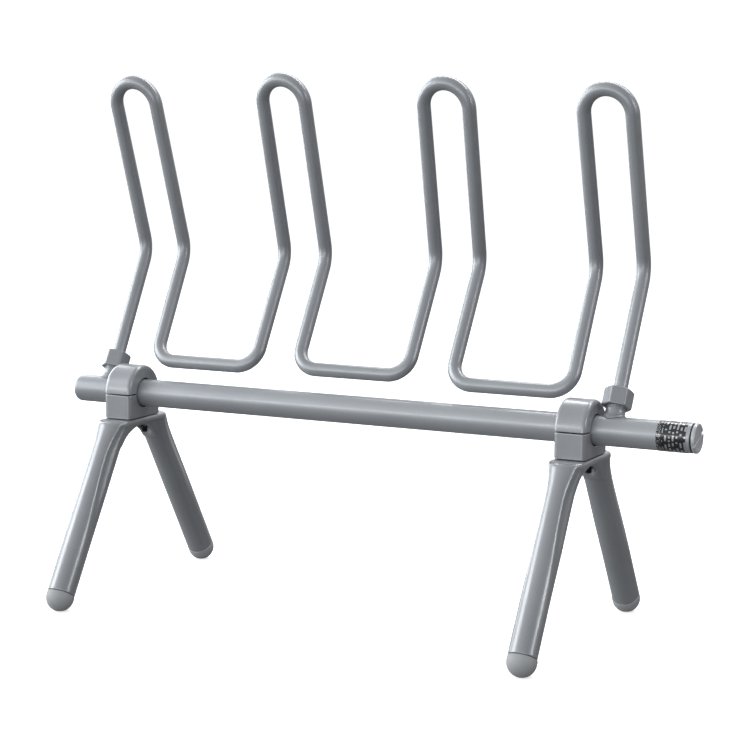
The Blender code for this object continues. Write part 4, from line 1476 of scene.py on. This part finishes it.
    def build_frame(self) -> None:
        """Moulded saddle, arch and legs."""
        far = self.foot_spread + 16.0
        low, high = (-18.5, -far, -self.foot_drop - 6.0), (18.5, far, -21.0)
        data = Skin(self.frame_shape, low, high, step=1.0).mesh("saddle_frame")
        self.add("saddle_frame", data, MOULDING_PAINT, "leg_frame")

    def build_foot(self, end: End) -> None:
        """Soft foot of one leg.

        Args:
            end: Which of the two legs.
        """
        offset = Vector((0.0, end.value * self.foot_spread * MM, -self.foot_drop * MM))
        place = (Matrix.Translation(self.pivot() + offset)
                 @ Matrix.Rotation(end.value * radians(self.leg_lean), 4, "X"))
        skin = Skin(partial(self.foot_shape, end=end), low=(-14.0,) * 3, high=(14.0,) * 3, step=0.7)
        name = end.name.lower()
        self.add(name + "_ball_foot", skin.mesh("ball_foot"), FOOT_RUBBER, name + "_foot", place)

    def stud_mesh(self) -> bpy.types.Mesh:
        """Make a stud with a real thread above its chamfered end.

        Returns:
            Mesh along z, with its heights from the pivot.
        """
        segments, per_turn = 40, 8
        start, count = self.stud_bottom + self.stud_chamfer, self.stud_threads * per_turn
        threaded = [start + self.stud_pitch * at / per_turn for at in range(count)]
        heights = [self.stud_bottom, *threaded, threaded[-1] + self.stud_pitch, self.stud_top]
        turns = [2.0 * pi * step / segments for step in range(segments)]
        rings = []
        for at, height in enumerate(heights):
            ring = []
            for turn in turns:
                wave = 0.5 + 0.5 * cos(2.0 * pi * height / self.stud_pitch - turn)
                cut = self.stud_thread * wave if 0 < at <= count else 0.0
                radius = self.stud_radius - (self.stud_chamfer if at == 0 else cut)
                ring.append(Vector((radius * cos(turn), radius * sin(turn), height)) * MM)
            rings.append(ring)
        data = ring_mesh("threaded_stud", rings)
        data.set_sharp_from_angle(angle=radians(THREAD_ANGLE))
        return data

    def nut_shape(self, points: Points) -> Values:
        """Small nut under the saddle.

        Args:
            points: Coordinates x, y and z of the points to measure.

        Returns:
            Distance at each point.
        """
        x, y, _ = points
        top = self.arch_top - self.fit_gap
        nut = HexNut(self.nut_flats, top - self.nut_height, top, corner_blend=0.4, cone_start=0.1,
                     cone_blend=0.3, face_blend=0.3)
        return soft_max(nut.shape(points), self.stud_radius + self.fit_gap - radius_of(x, y), blend=0.4)

    def build_fixing(self, end: End) -> None:
        """Threaded stud and its nut.

        Args:
            end: Which of the two legs.
        """
        name = end.name.lower()
        place = self.at_pivot() @ Matrix.Translation((0.0, end.value * self.stud_spacing * MM, 0.0))
        self.add(name + "_threaded_stud", self.stud_mesh(), STUD_STEEL, name + "_clamp_stud", place)
        top = self.arch_top - self.fit_gap
        low, high = (-7.0, -7.0, top - self.nut_height - 1.0), (7.0, 7.0, top + 1.0)
        data = Skin(self.nut_shape, low, high, step=0.35).mesh("saddle_nut")
        self.add(name + "_saddle_nut", data, STUD_STEEL, name + "_clamp_nut", place)

    def build(self) -> None:
        """Build and dress the assembly."""
        self.build_clamp()
        self.build_frame()
        for end in End:
            self.build_foot(end)
            self.build_fixing(end)


# ---------------------------------------------------------------- studio


@dataclass(frozen=True)
class Softbox:
    """One area light, in metres and watts, aimed at the middle of the object."""

    name: str
    place: Triple
    size: tuple[float, float]
    power: float
    tint: Colour = (1.0, 1.0, 1.0)

    def build(self, target: Vector) -> None:
        """Make the light and point it.

        Args:
            target: Point that it faces, in metres.
        """
        data = bpy.data.lights.new(self.name, "AREA")
        data.shape = "RECTANGLE"
        data.size, data.size_y = self.size
        data.energy = self.power
        data.color = self.tint
        lamp = bpy.data.objects.new(self.name, data)
        bpy.context.scene.collection.objects.link(lamp)
        lamp.location = self.place
        lamp.rotation_euler = (target - Vector(self.place)).to_track_quat("-Z", "Y").to_euler()


@dataclass
class Studio:
    """Pale floor and backdrop, soft lights and the camera."""

    eye: Triple = (0.8375, -1.6101, 0.4688)
    yaw: float = 27.19
    pitch: float = -7.687
    roll: float = -0.226
    lens: float = 98.88
    sensor: float = 36.0
    shift: tuple[float, float] = (-0.0022, -0.0092)
    floor_reach: float = 7.0
    dome_inset: float = 0.05
    floor_glow: float = 0.55
    cloth_glow: float = 1.05
    room_sides: tuple[float, float] = (1.8, 0.42)
    room_heights: tuple[tuple[float, float], ...] = ((0.0, 0.16), (0.42, 0.22), (0.56, 0.62), (0.75, 0.7),
                                                     (1.0, 0.45))
    room_tint: Colour = (0.98, 1.0, 1.03)
    softboxes: tuple[Softbox, ...] = (
        Softbox("key_left", (-2.3, -0.9, 0.9), (1.3, 1.9), 36.0, (0.95, 0.98, 1.0)),
        Softbox("front_left", (-1.1, -2.3, 0.78), (1.5, 0.28), 7.0, (0.97, 0.99, 1.0)),
        Softbox("left_rim", (-1.9, 1.0, 0.9), (1.1, 1.6), 24.0, (0.9, 0.96, 1.0)),
        Softbox("rear_top", (0.2, 1.1, 1.9), (2.6, 0.5), 26.0),
        Softbox("right_edge", (2.2, -0.1, 0.8), (0.5, 0.7), 7.0),
        Softbox("low_fill", (0.5, -2.6, 0.25), (1.8, 0.9), 11.0),
    )

    def build_camera(self) -> None:
        """Camera that sees the object from the front, to its right and a little above."""
        data = bpy.data.cameras.new("view")
        data.lens = self.lens
        data.sensor_width = self.sensor
        data.shift_x, data.shift_y = self.shift
        camera = bpy.data.objects.new("view", data)
        bpy.context.scene.collection.objects.link(camera)
        turn = (Matrix.Rotation(radians(self.yaw), 4, "Z") @ Matrix.Rotation(radians(self.pitch), 4, "X")
                @ Matrix.Rotation(radians(self.roll), 4, "Y") @ Matrix.Rotation(pi / 2.0, 4, "X"))
        camera.matrix_world = Matrix.Translation(self.eye) @ turn
        bpy.context.scene.camera = camera

    def paper(self) -> bpy.types.Material:
        """Make pale paper that glows a little, so that only soft shadows show on it.

        Returns:
            The material.
        """
        dressing = Dressing("pale_paper")
        fibres = dressing.noise(scale=900.0, detail=3.0)
        tone = dressing.colours(fibres, ((0.2, (0.86, 0.86, 0.86)), (0.8, (0.9, 0.9, 0.9))))
        return dressing.finish(Base_Color=tone, Roughness=0.9, Emission_Color=(1.0, 1.0, 1.0, 1.0),
                               Emission_Strength=self.floor_glow)

    def backdrop(self) -> bpy.types.Material:
        """Make even white cloth to hang round the floor.

        Returns:
            The material.
        """
        black, white = (0.0, 0.0, 0.0, 1.0), (1.0, 1.0, 1.0, 1.0)
        dressing = Dressing("white_cloth")
        return dressing.finish(Base_Color=black, Emission_Color=white, Emission_Strength=self.cloth_glow)

    def build_floor(self) -> None:
        """Round floor and a dome of cloth, which only the camera sees."""
        floor, dome = bmesh.new(), bmesh.new()
        bmesh.ops.create_circle(floor, cap_ends=True, segments=64, radius=self.floor_reach)
        dome_reach = self.floor_reach - self.dome_inset
        bmesh.ops.create_uvsphere(dome, u_segments=48, v_segments=24, radius=dome_reach)
        for name, made, finish in (("floor", floor, self.paper()), ("dome", dome, self.backdrop())):
            data = bpy.data.meshes.new(name)
            made.to_mesh(data)
            made.free()
            data.materials.append(finish)
            item = bpy.data.objects.new(name, data)
            bpy.context.scene.collection.objects.link(item)
            item.visible_diffuse = item.visible_glossy = False
            item.visible_transmission = item.visible_shadow = False

    def build_world(self) -> None:
        """Dim room: brighter overhead than below, and on the left than on the right."""
        world = bpy.data.worlds.new("room")
        bpy.context.scene.world = world
        world.use_nodes = True
        room = Wiring(world.node_tree, "Generated")
        split = room.node("SeparateXYZ", Vector=room.place).outputs
        height = room.between(split["Z"], low=0.0, high=1.0, start=-1.0, end=1.0)
        red, green, blue = self.room_tint
        stops = [(at, (grey * red, grey * green, grey * blue)) for at, grey in self.room_heights]
        left, right = self.room_sides
        background = room.tree.nodes["Background"]
        room.feed(background.inputs["Color"], room.colours(height, stops))
        room.feed(background.inputs["Strength"], room.between(split["X"], left, right, start=-1.0, end=1.0))

    def build(self) -> None:
        """Build the studio."""
        bpy.context.scene.view_settings.view_transform = "Standard"
        self.build_camera()
        self.build_floor()
        self.build_world()
        low, high = CAD_BOX
        for softbox in self.softboxes:
            softbox.build((low + high) / 2.0)
        log.info("studio: camera, floor, dome and %d softboxes", len(self.softboxes))


def main() -> None:
    """Build the boot dryer and its studio in order."""
    logging.basicConfig(level=logging.INFO, format="%(name)s %(message)s")
    Studio().build()
    MainTube().build()
    RadiatorCoil().build()
    for side in Side:
        CompressionFitting(side).build()
    Heater().build()
    for side in Side:
        LegAssembly(side).build()
    bpy.context.view_layer.update()


if __name__ == "__main__":
    main()
